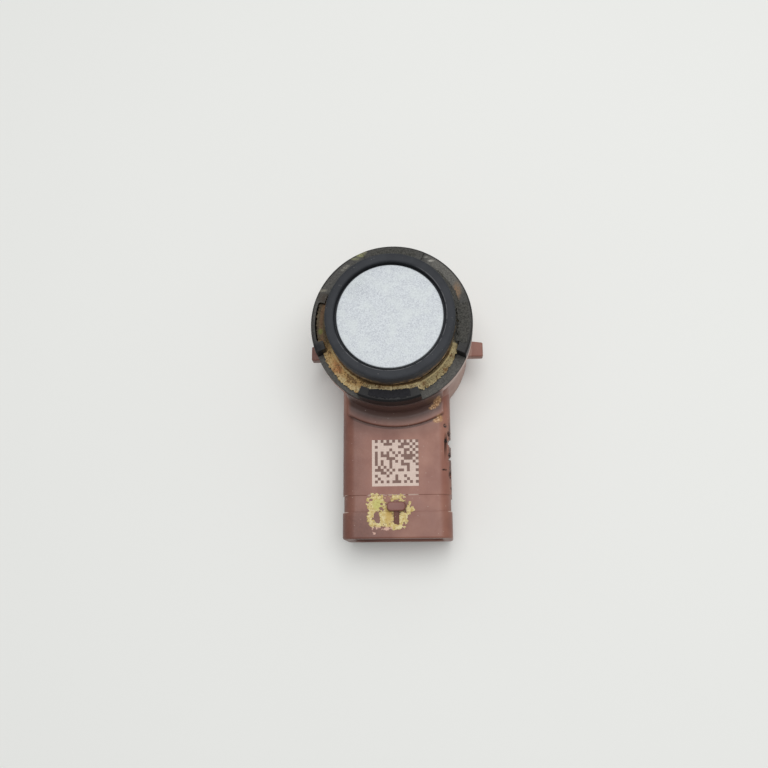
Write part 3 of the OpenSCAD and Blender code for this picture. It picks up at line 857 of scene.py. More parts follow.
def ring_rubber(form, dirt):
    """Makes the dark grey rubber, with a film of dirt low on its wall and a painted highlight along its inner
    lip.
    """
    paint = Paint("ring_rubber", ior=1.45, specular_ior_level=0.25)
    x, y, z, radius = paint.x, paint.y, paint.z, paint.radius
    top, lip = RING_TOP / MM, (form.membrane_radius + form.groove_width) / MM
    height, gloss, mottle = moulded(paint, 6.0)
    worn = paint.grain(1.3, 4.0, 0.65)
    film = z.rise(top - 1.6, top - 3.4) * radius.rise(8.7, 9.0) * worn.rise(0.3, 0.62) * y.rise(6.0, -4.0)
    paint.colour = paint.mix(mottle.rise(0.35, 0.7), form.rubber, shade(57, 59, 63))
    paint.cover(film * 0.85, paint.mix(worn.rise(0.5, 0.7), dirt.brown, dirt.golden))
    paint.cover(specks(paint, 0.8, 0.2) * 0.4, shade(132, 130, 126))
    # Painted highlight along the ring's inner lip at the right and the front
    lip_highlight = radius.between(lip + 0.02, lip + 0.14, 0.05) * z.rise(top - 0.35, top - 0.2)
    lip_highlight = lip_highlight * (x.rise(3.0, 6.0) | y.rise(-2.0, -5.0)) * worn.rise(0.36, 0.52)
    paint.cover(lip_highlight * 0.6, shade(122, 122, 124))
    return paint.finish(gloss.level(0.5, 0.8), height + film, 0.012)


def membrane_paint(form):
    """Makes the silver paint with its fine flakes and a smudge."""
    paint = Paint("membrane_paint", ior=1.5)
    flakes = paint.grain(5.5, 3.0, 0.7)
    paint.colour = paint.mix(flakes.rise(0.3, 0.72), shade(172, 177, 184), form.paint)
    paint.cover(paint.grain(0.55).rise(0.4, 0.7).level(0.0, 0.5), shade(206, 213, 212))
    smudge = paint.blob((-4.6, 4.3, FACE_TOP / MM), (1.3, 1.5, 1.0), 0.7)
    smudge = smudge * paint.grain(7.5, 3.0, 0.7).rise(0.5, 0.66)
    paint.cover(smudge * 0.8 | specks(paint, 0.7, 0.13) * 0.35, shade(120, 124, 132))
    return paint.finish(flakes.level(0.34, 0.6), flakes, 0.01)


def loose_dirt(paint, dirt, lumps):
    """Lays on the loose dirt: golden at the left, olive at the right, cream and brown in places, and darker
    next to the ring, partly painted shade under its nose.
    """
    x, y, radius = paint.x, paint.y, paint.radius
    crumbs = lumps + paint.grain(0.8)
    fine = paint.grain(6.5, 4.0, 0.78)
    ahead = y.rise(-2.5, -3.5)
    front = x.between(-4.2, 4.4, 0.6) * y.rise(-7.0, -8.0)
    paint.colour = paint.mix(x.rise(0.5, 5.0), dirt.golden, dirt.olive)
    dry = radius.rise(10.0, 11.0) * crumbs.rise(0.9, 1.2) | front * radius.rise(9.5, 9.75)
    paint.cover(dry | x.rise(8.3, 9.0) * y.rise(-5.5, -4.0) * 0.7, dirt.cream)
    # Darker brown next to the ring at the front: partly dirt and partly painted shade under the ring's nose
    paint.cover(front * radius.rise(9.6, 9.3) * 0.8, dirt.brown)
    paint.cover(crumbs.rise(1.02, 0.8), dirt.brown)
    paint.cover(paint.grain(4.6).rise(0.58, 0.68), shade(62, 47, 32))
    orange = paint.blob((-8.1, -6.2, 18.0), (0.9, 1.1, 2.0), 0.6) * lumps.rise(0.4, 0.55)
    paint.cover(orange * 0.6, shade(192, 122, 82))
    paint.cover(fine.rise(0.5, 0.36) * 0.6, shade(98, 76, 44))
    paint.cover(fine.rise(0.54, 0.68) * 0.6, shade(226, 208, 158))
    line = radius.between(9.6, 9.78, 0.05) * ahead * (x.rise(2.0, 3.5) | x.rise(-5.0, -6.0))
    paint.cover(line * fine.rise(0.36, 0.5) * 0.75, shade(200, 182, 136))
    # Dark band next to the ring: partly dirt and partly painted shade under the ring's nose
    paint.cover(radius.rise(9.58, 9.5) * ahead * 0.7, shade(72, 56, 38))


def channel_dirt(dirt):
    """Makes the dirt: loose in the channel, brown in the left pocket, packed grey and black in the others."""
    paint = Paint("channel_dirt", roughness=0.9, specular_ior_level=0.1)
    x, y, z = paint.x, paint.y, paint.z
    lumps = paint.grain(3.4, 5.0, 0.72)
    loose_dirt(paint, dirt, lumps)
    pressed = paint.mix(lumps, shade(52, 48, 42), shade(92, 84, 72))
    pressed = paint.mix(paint.radius.between(10.3, 10.8, 0.14), pressed, shade(98, 77, 63))
    paint.cover(x.rise(-8.0, -9.0) * y.rise(-4.5, -1.5) * 0.9, pressed)
    packed = z.rise(18.85, 18.95) * y.rise(-8.5, -7.5) * (y.rise(3.4, 4.4) | x.rise(0.0, 2.0))
    grey = paint.mix(lumps.rise(0.35, 0.65), shade(56, 56, 54), shade(86, 85, 81))
    paint.cover(packed, paint.mix(paint.grain(11.0, 2.0).rise(0.55, 0.75), grey, shade(108, 106, 98)))
    black = y.rise(-9.9, -10.1) * z.rise(18.98, 19.06)
    paint.cover(black, paint.mix(lumps, shade(37, 37, 40), shade(47, 47, 50)))
    paint.cover(paint.blob((-10.6, -0.9, 18.4), (0.35, 0.45, 1.0), 0.5) * 0.7, shade(120, 126, 72))
    return paint.finish(height=paint.grain(7.0, 4.0, 0.7), depth=0.05)


def latch_residue(dirt, top):
    """Makes the dry yellow crust round the latch: greenish at the left, golden beside the ramp."""
    paint = Paint("latch_residue", roughness=0.85, specular_ior_level=0.2)
    lumps = paint.grain(2.4, 5.0, 0.72)
    paint.colour = paint.mix(lumps.rise(0.4, 0.64), dirt.residue, dirt.residue_pale)
    paint.cover(paint.blob((-2.9, -25.9, top), (0.75, 0.8, 2.0), 0.5) * 0.75, shade(190, 188, 112))
    paint.cover(paint.blob((-1.15, -27.5, top), (0.6, 1.2, 2.0), 0.6) * 0.7, shade(190, 158, 86))
    paint.cover(paint.grain(3.8, 4.0, 0.65).rise(0.42, 0.32), shade(146, 112, 78))
    paint.cover(paint.y.rise(-29.1, -29.5) * paint.x.rise(-0.4, -1.0), shade(206, 170, 156))
    return paint.finish(height=paint.grain(6.0, 4.0, 0.7), depth=0.04)


def plain_finish(name, colour, roughness, metallic, grain):
    """Makes a finish for an inner piece or a terminal: its colour, mottled, with a fine grain."""
    paint = Paint(name, metallic=metallic)
    height, gloss, mottle = moulded(paint, grain)
    paint.colour = paint.mix(mottle.rise(0.3, 0.7), tuple(part * 0.7 for part in colour), colour)
    return paint.finish(gloss.level(roughness * 0.8, roughness * 1.2), height, 0.01)


# Pieces of the housing

def pot_solid(form):
    """Turns the pot's outside with its flange."""
    foot = FLANGE_TOP - form.flange_height
    core = 0.6 * form.pot_radius
    return turned("housing_shell", [
        (core, 0), (form.pot_radius, 0, form.back_round), (form.pot_radius, foot, FOOT_ROUND),
        (FLANGE_RADIUS, foot, SOFT_ROUND), (FLANGE_RADIUS, FLANGE_TOP, EDGE_ROUND), (core, FLANGE_TOP)])


def bore_solid(sleeve):
    """Turns the space inside the pot, from the sizes of what fills it."""
    potting_low, potting_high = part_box("potting")
    bed = potting_high.x
    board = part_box("contact_carrier")[1].x + BOARD_CLEARANCE
    seat = sleeve.seat_radius + SEAT_CLEARANCE
    rim = sleeve.rim_radius + SEAT_CLEARANCE
    rim_floor = FLANGE_TOP - sleeve.rim_depth
    return turned("bore", [
        (bed, potting_low.z), (bed, potting_high.z), (board, potting_high.z), (board, RING_FLOOR),
        (seat, RING_FLOOR), (seat, rim_floor), (rim, rim_floor), (rim, FLANGE_TOP + MM)])


def arm_solid(form):
    """Shapes the arm from a box: rounds its edges, then draws out the groove and the collar."""
    half, bottom, top = form.arm_half_width, form.arm_bottom, form.arm_top
    middle, rise = (bottom + top) / 2, (top - bottom) / 2
    groove = -(ARM_REACH - form.collar_length - form.groove_width)
    piece = block("arm", (-half, groove, bottom), (half, -0.4 * form.pot_radius, top))
    edit(piece)
    for height, width, steps in ((top, form.arm_round, 9), (bottom, form.arm_under_round, 5)):
        round_edges(piece, width, steps,
                    lambda edge: runs_along(edge, 1) and spans(edge, lambda p: near(p.z, height)))
    pick_front(piece)
    grown, y = 0.0, groove
    draws = ((0, -form.groove_depth), (form.groove_width, -form.groove_depth),
             (0, form.collar_proud), (form.collar_length, form.collar_proud))
    for reach, grow in draws:
        y -= reach
        draw_out(0, -reach, 0)
        stretch(((half + grow) / (half + grown), 1, (rise + grow) / (rise + grown)), (0, y, middle))
        grown = grow
    round_edges(piece, MOUTH_ROUND, 3, lambda edge: spans(edge, lambda p: near(p.y, -ARM_REACH)))
    for seam in (groove, groove - form.groove_width):
        round_edges(piece, SEAM_ROUND, 2,
                    lambda edge: spans(edge, lambda p: near(p.y, seam)) and is_corner(edge))
    tidy(piece)
    return piece


def socket_solid(form):
    """Shapes the space of the socket, flared a little at its mouth."""
    middle = (form.arm_bottom + form.arm_top) / 2
    half, rise = form.socket_width / 2, form.socket_height / 2
    mouth = -ARM_REACH + MOUTH_FLARE
    piece = block("socket", (-half, mouth, middle - rise), (half, mouth + form.socket_depth, middle + rise))
    edit(piece)
    round_edges(piece, form.arm_under_round, 5, lambda edge: runs_along(edge, 1))
    pick_front(piece)
    draw_out(0, -MOUTH_FLARE, 0)
    stretch(((half + MOUTH_FLARE) / half, 1, (rise + MOUTH_FLARE) / rise), (0, -ARM_REACH, middle))
    draw_out(0, -MM, 0)
    tidy(piece)
    return piece


def neck_solid(form):
    """Turns the neck's step and wall, and cuts it to the width of the neck."""
    bottom = form.arm_bottom + form.arm_under_round
    step = form.arm_top + form.neck_rise
    core = 0.7 * form.neck_wall_radius
    piece = turned("neck", [
        (core, bottom), (form.neck_radius, bottom), (form.neck_radius, step, FOOT_ROUND),
        (form.neck_wall_radius, step, form.neck_foot),
        (form.neck_wall_radius, FLANGE_TOP - NECK_DROP), (core, FLANGE_TOP - NECK_DROP)])
    for side in (-1, 1):
        cut_away(piece, (side * form.neck_half_width, 0, 0), (side, 0, 0))
    cut_away(piece, (0, -core, 0), (0, 1, 0))
    edit(piece)
    edge_x = form.neck_half_width
    round_edges(piece, NECK_ROUND, 3, lambda edge: is_corner(edge)
                and spans(edge, lambda p: near(abs(p.x), edge_x) and p.z > form.arm_top)
                and near(edge.verts[0].co.x, edge.verts[1].co.x))
    tidy(piece)
    return piece


def tab_solid(form, side):
    """Shapes one side tab, with a slope at its outer corner."""
    y0 = -form.tab_shift - form.tab_width / 2
    y1 = y0 + form.tab_width
    root = form.pot_radius - MM
    low = (root, y0, form.tab_top - form.tab_thickness)
    piece = block("tab", low, (TAB_REACH, y1, form.tab_top))
    edit(piece)
    pick(piece, "EDGE", lambda edge: spans(edge, lambda p: near(p.x, TAB_REACH) and near(p.y, y1)))
    bpy.ops.transform.translate(value=(0, -TAB_SLOPE, 0))
    round_edges(piece, TAB_ROUND, 3, lambda edge: True)
    bpy.ops.mesh.select_all(action="SELECT")
    stretch((side, 1, 1), (0, 0, 0))
    tidy(piece)
    return piece


def latch_solids(form):
    """Shapes the latch's oval head and the lower ramp in front of it."""
    catch = -(ARM_REACH - form.latch_back)
    end = catch - form.latch_length
    foot = form.arm_top - 2 * form.groove_depth
    top = form.arm_top + form.latch_height
    half = form.latch_width / 2
    head = block("latch_head", (-half, end, foot), (half, catch, top))
    edit(head)
    round_edges(head, form.latch_round, 6, lambda edge: runs_along(edge, 2))
    round_edges(head, SOFT_ROUND, 4, lambda edge: spans(edge, lambda p: near(p.z, top)))
    tidy(head)
    half = form.ramp_width / 2
    far = end - form.ramp_length
    above = (foot + form.arm_top) / 2
    high = (half, end + RAMP_OVERLAP, form.arm_top + form.ramp_height)
    ramp = block("latch_ramp", (-half, far, foot), high)
    edit(ramp)
    pick(ramp, "EDGE", lambda edge: spans(edge, lambda p: near(p.y, far) and p.z > above))
    bpy.ops.transform.translate(value=(0, 0, RAMP_TIP - form.ramp_height))
    round_edges(ramp, EDGE_ROUND, 3,
                lambda edge: spans(edge, lambda p: p.z > above) and not runs_along(edge, 0))
    tidy(ramp)
    return head, ramp


def pocket_solids(form):
    """Shapes the four moulding pockets under the arm."""
    end = -(ARM_REACH - form.socket_depth - POCKET_WALL)
    for index in range(4):
        x = (index - 1.5) * POCKET_PITCH
        low = (x - POCKET_WIDTH / 2, end, form.arm_bottom - MM)
        high = (x + POCKET_WIDTH / 2, end + POCKET_LENGTH, form.arm_bottom + POCKET_DEPTH)
        piece = block("pocket", low, high)
        edit(piece)
        round_edges(piece, POCKET_ROUND, 3, lambda edge: runs_along(edge, 2))
        tidy(piece)
        yield piece


def gouge_solids():
    """Shapes the gouges along the arm's right edge: lumpy ellipsoids, each different."""
    for index, (centre, reach) in enumerate(GOUGES):
        deselect()
        bpy.ops.mesh.primitive_ico_sphere_add(subdivisions=3, radius=1)
        piece = bpy.context.object
        for point in piece.data.vertices:
            lump = noise.noise(point.co * 1.7 + Vector((index * 5.1, 2.3, 0)))
            away = Vector(reach) * (1 + GOUGE_LUMP * lump) * point.co
            away.y -= GOUGE_LEAN * away.z
            point.co = (Vector(centre) + away) * MM
        yield piece


class SENSOR_OT_housing(bpy.types.Operator):
    """Model the reddish-brown housing with its arm, neck, latch and tabs"""
    bl_idname = "sensor.housing"
    bl_label = "Model the housing"

    def execute(self, context):
        form = context.scene.sensor_housing
        piece = pot_solid(form)
        joined = [arm_solid(form), neck_solid(form), tab_solid(form, 1), tab_solid(form, -1)]
        for part in (*joined, *latch_solids(form)):
            combine(piece, part, "UNION")
        cuts = [bore_solid(context.scene.sensor_sleeve), socket_solid(form)]
        for part in (*cuts, *pocket_solids(form), *gouge_solids()):
            combine(piece, part, "DIFFERENCE")
        tidy(piece)
        smooth(piece)
        place(piece, housing_plastic(form), "housing_plastic", "housing")
        return {"FINISHED"}


# Pieces of the sleeve

# The lugs share walls with the ring below them, and the exact solver tears such unions at random
SHARED_WALL_SOLVER = "MANIFOLD"


def sector(piece, half, middle=0.0):
    """Cuts a turned piece to an angle on each side of its middle."""
    for side in (-1, 1):
        angle = middle + side * half
        cut_away(piece, (0, 0, 0), (-side * math.sin(angle), side * math.cos(angle), 0))


def lug_solid(form, ledge):
    """Shapes one lug on the X axis: a thin wall with a rib at each end of its open pocket."""
    inner, outer = form.channel_radius, form.pocket_radius
    buried = ledge - form.ledge_thickness / 2
    piece = turned("lug", [
        (inner, buried), (SLEEVE_RADIUS, buried), (SLEEVE_RADIUS, LUG_TOP, form.lug_round),
        (inner, LUG_TOP)], closed=True)
    sector(piece, form.lug_angle / 2)
    pocket = turned("lug_pocket", [
        (inner - MM, ledge), (outer, ledge), (outer, LUG_TOP + MM), (inner - MM, LUG_TOP + MM)], closed=True)
    sector(pocket, form.lug_angle / 2 - form.lug_end)
    edit(pocket)
    round_edges(pocket, form.lug_round, 4, lambda edge: runs_along(edge, 2) and is_corner(edge)
                and spans(edge, lambda p: p.xy.length > outer - WALL_CLOSE))
    tidy(pocket)
    combine(piece, pocket, "DIFFERENCE")
    tidy(piece)
    edit(piece)
    round_edges(piece, LUG_EDGE, 2,
                lambda edge: is_corner(edge) and spans(edge, lambda p: p.z > ledge + LUG_EDGE))
    tidy(piece)
    return piece


def rear_wall(form, ledge, index):
    """Shapes the wall between two rear lugs, nearly as high as they are."""
    top = LUG_TOP - form.rear_drop
    piece = turned("rear_wall", [
        (form.channel_radius, ledge - form.ledge_thickness / 2),
        (SLEEVE_RADIUS, ledge - form.ledge_thickness / 2), (SLEEVE_RADIUS, top, LUG_EDGE),
        (form.channel_radius, top, LUG_EDGE), (form.channel_radius, ledge)], closed=True)
    gap = FULL_TURN / 4 - form.lug_angle
    sector(piece, gap / 2 + form.lug_end / 4, form.lug_turn + (index + 0.5) * FULL_TURN / 4)
    return piece


class SENSOR_OT_sleeve(bpy.types.Operator):
    """Model the black sleeve with its four lugs"""
    bl_idname = "sensor.sleeve"
    bl_label = "Model the sleeve"

    def execute(self, context):
        form = context.scene.sensor_sleeve
        ledge = FLANGE_TOP + form.ledge_thickness
        floor = ledge - form.channel_depth
        rim_floor = FLANGE_TOP - form.rim_depth
        piece = turned("sleeve_shell", [
            (form.inner_radius, sleeve_low.z), (form.seat_radius, sleeve_low.z),
            (form.seat_radius, rim_floor), (form.rim_radius, rim_floor), (form.rim_radius, FLANGE_TOP),
            (SLEEVE_RADIUS, FLANGE_TOP, SHARP_ROUND), (SLEEVE_RADIUS, ledge, EDGE_ROUND),
            (form.channel_radius, ledge, CRISP_ROUND), (form.channel_radius, floor, CRISP_ROUND),
            (form.inner_radius, floor)], closed=True)
        lug = lug_solid(form, ledge)
        for index in range(4):
            copy = bpy.data.objects.new("lug_copy", lug.data.copy())
            context.scene.collection.objects.link(copy)
            copy.data.transform(Matrix.Rotation(form.lug_turn + index * FULL_TURN / 4, 4, "Z"))
            combine(piece, copy, "UNION", SHARED_WALL_SOLVER)
        bpy.data.objects.remove(lug)
        for index in range(2):
            combine(piece, rear_wall(form, ledge, index), "UNION", SHARED_WALL_SOLVER)
        tidy(piece)
        smooth(piece)
        place(piece, sleeve_plastic(form), "sleeve_plastic", "retaining_sleeve")
        return {"FINISHED"}


# Pieces of the head

class SENSOR_OT_ring(bpy.types.Operator):
    """Model the dark rubber ring round the membrane"""
    bl_idname = "sensor.ring"
    bl_label = "Model the rubber ring"

    def execute(self, context):
        form = context.scene.sensor_head
        root = RING_RADIUS - form.root_relief
        base_top = RING_FLOOR + form.base_thickness
        nose = LUG_TOP + form.nose_gap
        inner = form.membrane_radius
        lip = inner + form.groove_width
        groove = FACE_TOP - form.groove_depth
        rim = cup_high.x
        rim_top = cup_low.z + form.cup_rim_height
        below = inner - form.lip_reach
        piece = turned("ring_shell", [
            (below, RING_FLOOR), (form.base_radius, RING_FLOOR), (form.base_radius, base_top, FACE_ROUND),
            (root, base_top, FOOT_ROUND), (root, nose, SOFT_ROUND), (RING_RADIUS, nose, EDGE_ROUND),
            (RING_RADIUS, RING_TOP, form.nose_round), (lip, RING_TOP, form.lip_round),
            (lip, groove, CRISP_ROUND), (inner, groove), (inner, rim_top), (rim, rim_top), (rim, cup_low.z),
            (below, cup_low.z)], closed=True)
        smooth(piece)
        place(piece, ring_rubber(form, context.scene.sensor_dirt), "ring_rubber", "decoupling_ring")
        return {"FINISHED"}


class SENSOR_OT_membrane(bpy.types.Operator):
    """Model the cup whose painted face is the membrane"""
    bl_idname = "sensor.membrane"
    bl_label = "Model the membrane"

    def execute(self, context):
        form = context.scene.sensor_head
        outer = form.membrane_radius
        inner = outer - form.cup_wall
        ceiling = FACE_TOP - form.membrane_thickness
        rim_top = cup_low.z + form.cup_rim_height
        piece = turned("membrane_shell", [
            (inner, ceiling), (inner, cup_low.z), (cup_high.x, cup_low.z), (cup_high.x, rim_top),
            (outer, rim_top), (outer, FACE_TOP, FACE_ROUND), (0.8 * outer, FACE_TOP)])
        smooth(piece)
        place(piece, membrane_paint(form), "membrane_paint", "membrane_cup")
        return {"FINISHED"}


# Dirt

# Beds of dirt: angle in degrees, outer radius, height at the inner edge and height at the outer edge
CHANNEL_BED = (
    (150, 10.6, 18.4, 18.4), (157, 11.25, 18.5, 18.6), (182, 11.25, 18.5, 18.6), (192, 11.2, 18.5, 18.4),
    (196, 10.45, 18.5, 17.6), (203, 11.0, 18.6, 17.2), (217, 11.0, 18.5, 17.15), (232, 11.2, 18.1, 17.15),
    (245, 11.35, 17.8, 17.1), (250, 10.5, 18.0, 17.9), (258, 10.32, 18.5, 18.7), (270, 10.3, 18.5, 18.7),
    (282, 10.32, 18.5, 18.7), (290, 10.45, 18.0, 17.9), (295, 10.65, 17.6, 17.1), (311, 10.6, 17.7, 17.1),
    (328, 10.5, 17.7, 17.1), (337, 10.4, 18.0, 17.9), (342, 10.3, 18.5, 18.7), (346, 9.85, 18.5, 18.7),
    (374, 9.85, 18.5, 18.7),
)
REAR_BED = (
    (11, 10.5, 19.1, 19.15), (70, 10.5, 19.1, 19.15), (72, 11.5, 19.3, 19.42), (104, 11.5, 19.3, 19.42),
    (106, 10.5, 19.1, 19.15), (154, 10.5, 19.1, 19.15),
)
RIGHT_POCKET_BED = ((-18, 11.5, 19.2, 19.42), (14, 11.5, 19.2, 19.42))
FRONT_POCKET_BED = ((252, 11.5, 19.25, 19.42), (284, 11.5, 19.25, 19.42))
# Each bed with its inner radius in millimetres, which is under the ring's nose unless it is a pocket's
BEDS = ((9.1, CHANNEL_BED), (9.4, REAR_BED), (9.85, RIGHT_POCKET_BED), (10.3, FRONT_POCKET_BED))
# Crusts on the arm about the latch, in millimetres: centre, half sizes and share of the full thickness
CRUSTS = (
    ((-3.0, -25.75), (1.15, 1.3), 1.0),
    ((-3.95, -27.85), (0.45, 0.95), 0.7),
    ((-3.25, -28.9), (0.75, 0.5), 0.6),
    ((-1.55, -27.7), (1.0, 1.35), 1.0),
    ((-2.4, -28.7), (0.6, 0.45), 0.6),
    ((-0.2, -29.2), (1.15, 0.45), 0.8),
    ((0.75, -27.95), (0.38, 1.3), 0.8),
    ((1.25, -27.95), (0.4, 0.85), 0.8),
    ((1.8, -26.8), (0.45, 0.6), 0.8),
    ((2.0, -25.85), (0.17, 0.4), 0.7),
    ((2.3, -26.6), (0.35, 0.4), 0.6),
    ((0.1, -24.85), (0.85, 0.32), 0.5),
    ((0.75, -25.3), (0.4, 0.25), 0.5),
    ((-0.7, -25.35), (0.22, 0.2), 0.7),
    ((-2.3, -24.8), (0.4, 0.3), 0.6),
    ((-1.85, -29.55), (0.42, 0.16), 0.4),
    ((-3.35, -30.2), (0.2, 0.18), 0.4),
)
# Places in the crust where the arm shows through, told the same way
BARE = (
    ((-3.0, -27.75), (0.35, 0.75), 1.0),
    ((-2.7, -28.45), (0.2, 0.3), 1.0),
    ((-2.3, -25.85), (0.22, 0.16), 0.8),
    ((-2.35, -26.5), (0.22, 0.22), 0.8),
    ((-3.8, -25.2), (0.2, 0.18), 0.8),
)
# Corners of the patch of the arm that can carry crust, in millimetres
CRUST_LOW = (-4.7, -30.6)
CRUST_HIGH = (3.0, -24.2)
# Steps of the dirt's grids: across a bed, for each degree along it, and over the crust's patch
BED_STEPS = 20
DEGREE_STEPS = 2.5
CRUST_STEPS = (150, 130)
# How steeply a bed goes from its inner height to its outer one
HEAP_POWER = 0.8
# Lumps for each radian along a bed's ragged edge and for each millimetre over the crust
EDGE_LUMPS = 30
CRUST_LUMPS = 3
# The crust's ragged outline: its grain, seed and weight, and the weight of the bare places
RAGGED_GRAIN = 2.6
RAGGED_SEED = 4.7
RAGGED_WEIGHT = 0.42
BARE_WEIGHT = 1.6
# Where a spot of crust ends, in half sizes, and how fast it comes to its full thickness
SPOT_REACH = 1.25
CRUST_RISE = 2.5


def fine_grid(name, across, along):
    deselect()
    bpy.ops.mesh.primitive_grid_add(x_subdivisions=across, y_subdivisions=along, size=1)
    piece = bpy.context.object
    piece.name = name
    return piece


def thicken(piece, thickness):
    """Gives a sheet of dirt a body under its surface."""
    modify(piece, "SOLIDIFY", thickness=thickness, offset=-1)


def lumpy(spot):
    return noise.fractal(spot, 0.7, 2.0, 4)


def along_bed(bed, angle):
    """Gives the outer radius and the two heights of a bed of dirt at an angle."""
    for here, ahead in zip(bed, bed[1:]):
        if angle <= ahead[0]:
            part = (angle - here[0]) / (ahead[0] - here[0])
            part = part * part * (3 - 2 * part)
            return [first + (second - first) * part for first, second in zip(here[1:], ahead[1:])]
    return bed[-1][1:]


def dirt_bed(form, inner, bed):
    """Heaps one bed of dirt between an inner radius and a ragged outer edge."""
    start, end = bed[0][0], bed[-1][0]
    piece = fine_grid("dirt_bed", math.ceil(DEGREE_STEPS * (end - start)), BED_STEPS)
    for point in piece.data.vertices:
        along, across = point.co.x + 0.5, point.co.y + 0.5
        degrees = start + (end - start) * along
        angle = math.radians(degrees)
        outer, inner_height, outer_height = along_bed(bed, degrees)
        outer += form.ragged / MM * lumpy(Vector((angle * EDGE_LUMPS, start, 0)))
        radius = (inner + (outer - inner) * across) * MM
        spot = Vector((radius * math.cos(angle), radius * math.sin(angle), 0))
        lumps = lumpy(spot / form.grain)
        heap = inner_height + (outer_height - inner_height) * across ** HEAP_POWER
        point.co = spot + Vector((0, 0, heap * MM + form.lump * lumps))
    thicken(piece, form.body)
    return piece


class SENSOR_OT_dirt(bpy.types.Operator):
    """Model the dirt that lies in the sleeve's channel and pockets"""
    bl_idname = "sensor.dirt"
    bl_label = "Model the channel dirt"

    def execute(self, context):
        form = context.scene.sensor_dirt
        beds = [dirt_bed(form, inner, bed) for inner, bed in BEDS]
        activate(beds[0])
        for bed in beds:
            bed.select_set(True)
        bpy.ops.object.join()
        piece = beds[0]
        piece.name = "channel_dirt"
        smooth(piece, LUMPY_ANGLE)
        place(piece, channel_dirt(form), "sleeve_plastic")
        return {"FINISHED"}


def spread(spots, x, y):
    """Gives the greatest depth at a place of some spots, each deepest in its middle."""
    depth = -1.0
    for (middle_x, middle_y), (reach_x, reach_y), full in spots:
        away = math.hypot((x - middle_x) / reach_x, (y - middle_y) / reach_y)
        depth = max(depth, full * (SPOT_REACH - away))
    return depth


def crust_depth(x, y):
    """Gives the crust's thickness at a place on the arm, from 0 to 1."""
    ragged = noise.fractal(Vector((x * RAGGED_GRAIN, y * RAGGED_GRAIN, RAGGED_SEED)), 0.6, 2.0, 5)
    bare = BARE_WEIGHT * max(0, spread(BARE, x, y))
    return spread(CRUSTS, x, y) - bare + RAGGED_WEIGHT * ragged


class SENSOR_OT_residue(bpy.types.Operator):
    """Model the dry crust on the arm round the latch"""
    bl_idname = "sensor.residue"
    bl_label = "Model the latch residue"

    def execute(self, context):
        dirt = context.scene.sensor_dirt
        housing = context.scene.sensor_housing
        collar = -(ARM_REACH - housing.collar_length)
        groove = collar + housing.groove_width
        piece = fine_grid("latch_residue", *CRUST_STEPS)
        bare = set()
        for point in piece.data.vertices:
            x = CRUST_LOW[0] + (point.co.x + 0.5) * (CRUST_HIGH[0] - CRUST_LOW[0])
            y = CRUST_LOW[1] + (point.co.y + 0.5) * (CRUST_HIGH[1] - CRUST_LOW[1])
            depth = crust_depth(x, y)
            if depth <= 0:
                bare.add(point.index)
            base = housing.arm_top
            if y * MM < collar:
                base += housing.collar_proud
            elif y * MM < groove:
                base -= housing.groove_depth
            lumps = 1 + 0.5 * noise.noise(Vector((x * CRUST_LUMPS, y * CRUST_LUMPS, 0)))
            top = base + dirt.crust * min(1, CRUST_RISE * max(0, depth)) * lumps
            point.co = (x * MM, y * MM, top)
        edit(piece)
        pick(piece, "VERT", lambda point: point.index in bare)
        bpy.ops.mesh.delete(type="VERT")
        leave_edit()
        thicken(piece, CRUST_BODY)
        smooth(piece, LUMPY_ANGLE)
        place(piece, latch_residue(dirt, housing.arm_top / MM), "housing_plastic")
        return {"FINISHED"}


# Terminals and inner pieces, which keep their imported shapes

# Roughness, metallic and grain of each finish
FINISHES = {
    "piezo_ceramic": (0.45, 0.3, 6.0),
    "foam": (0.95, 0.0, 5.0),
    "signal_wire": (0.4, 0.0, 8.0),
    "ground_wire": (0.4, 0.0, 8.0),
    "carrier_plastic": (0.55, 0.0, 8.0),
    "contact_metal": (0.3, 1.0, 10.0),
    "board_laminate": (0.45, 0.0, 9.0),
    "ferrite": (0.75, 0.1, 7.0),
    "copper_wire": (0.35, 0.9, 10.0),
    "chip_plastic": (0.6, 0.0, 12.0),
    "capacitor_case": (0.5, 0.0, 10.0),
    "chip_ceramic": (0.5, 0.0, 12.0),
    "terminal_metal": (0.32, 1.0, 9.0),
    "potting_silicone": (0.6, 0.0, 3.0),
}


def finish_nodes(slots):
    """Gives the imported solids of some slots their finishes."""
    colours = {entry["slot"]: entry["base_color"] for entry in frame["record"]["materials"]}
    for entry in frame["record"]["subparts"]:
        name = entry["material_slot"]
        if name not in slots:
            continue
        finish = bpy.data.materials.get(name + "_finish")
        finish = finish or plain_finish(name + "_finish", colours[name], *FINISHES[name])
        mesh = frame["nodes"][entry["node"]].data
        mesh.materials.clear()
        mesh.materials.append(finish)


class SENSOR_OT_terminals(bpy.types.Operator):
    """Give the connector's terminals their tinned finish"""
    bl_idname = "sensor.terminals"
    bl_label = "Finish the terminals"

    def execute(self, context):
        finish_nodes({"terminal_metal"})
        return {"FINISHED"}


class SENSOR_OT_inside(bpy.types.Operator):
    """Give the pieces inside the pot and the cup their finishes"""
    bl_idname = "sensor.inside"
    bl_label = "Finish the inner pieces"

    def execute(self, context):
        finish_nodes(set(FINISHES) - {"terminal_metal"})
        return {"FINISHED"}


# Stage

def floor_finish(colour):
    """Makes the floor's pale finish, with a slight change of tone."""
    paint = Paint("floor_finish", roughness=0.9)
    paler = tuple(min(1, part * 1.02) for part in colour)
    paint.colour = paint.mix(paint.grain(0.02), colour, paler)
    return paint.finish()


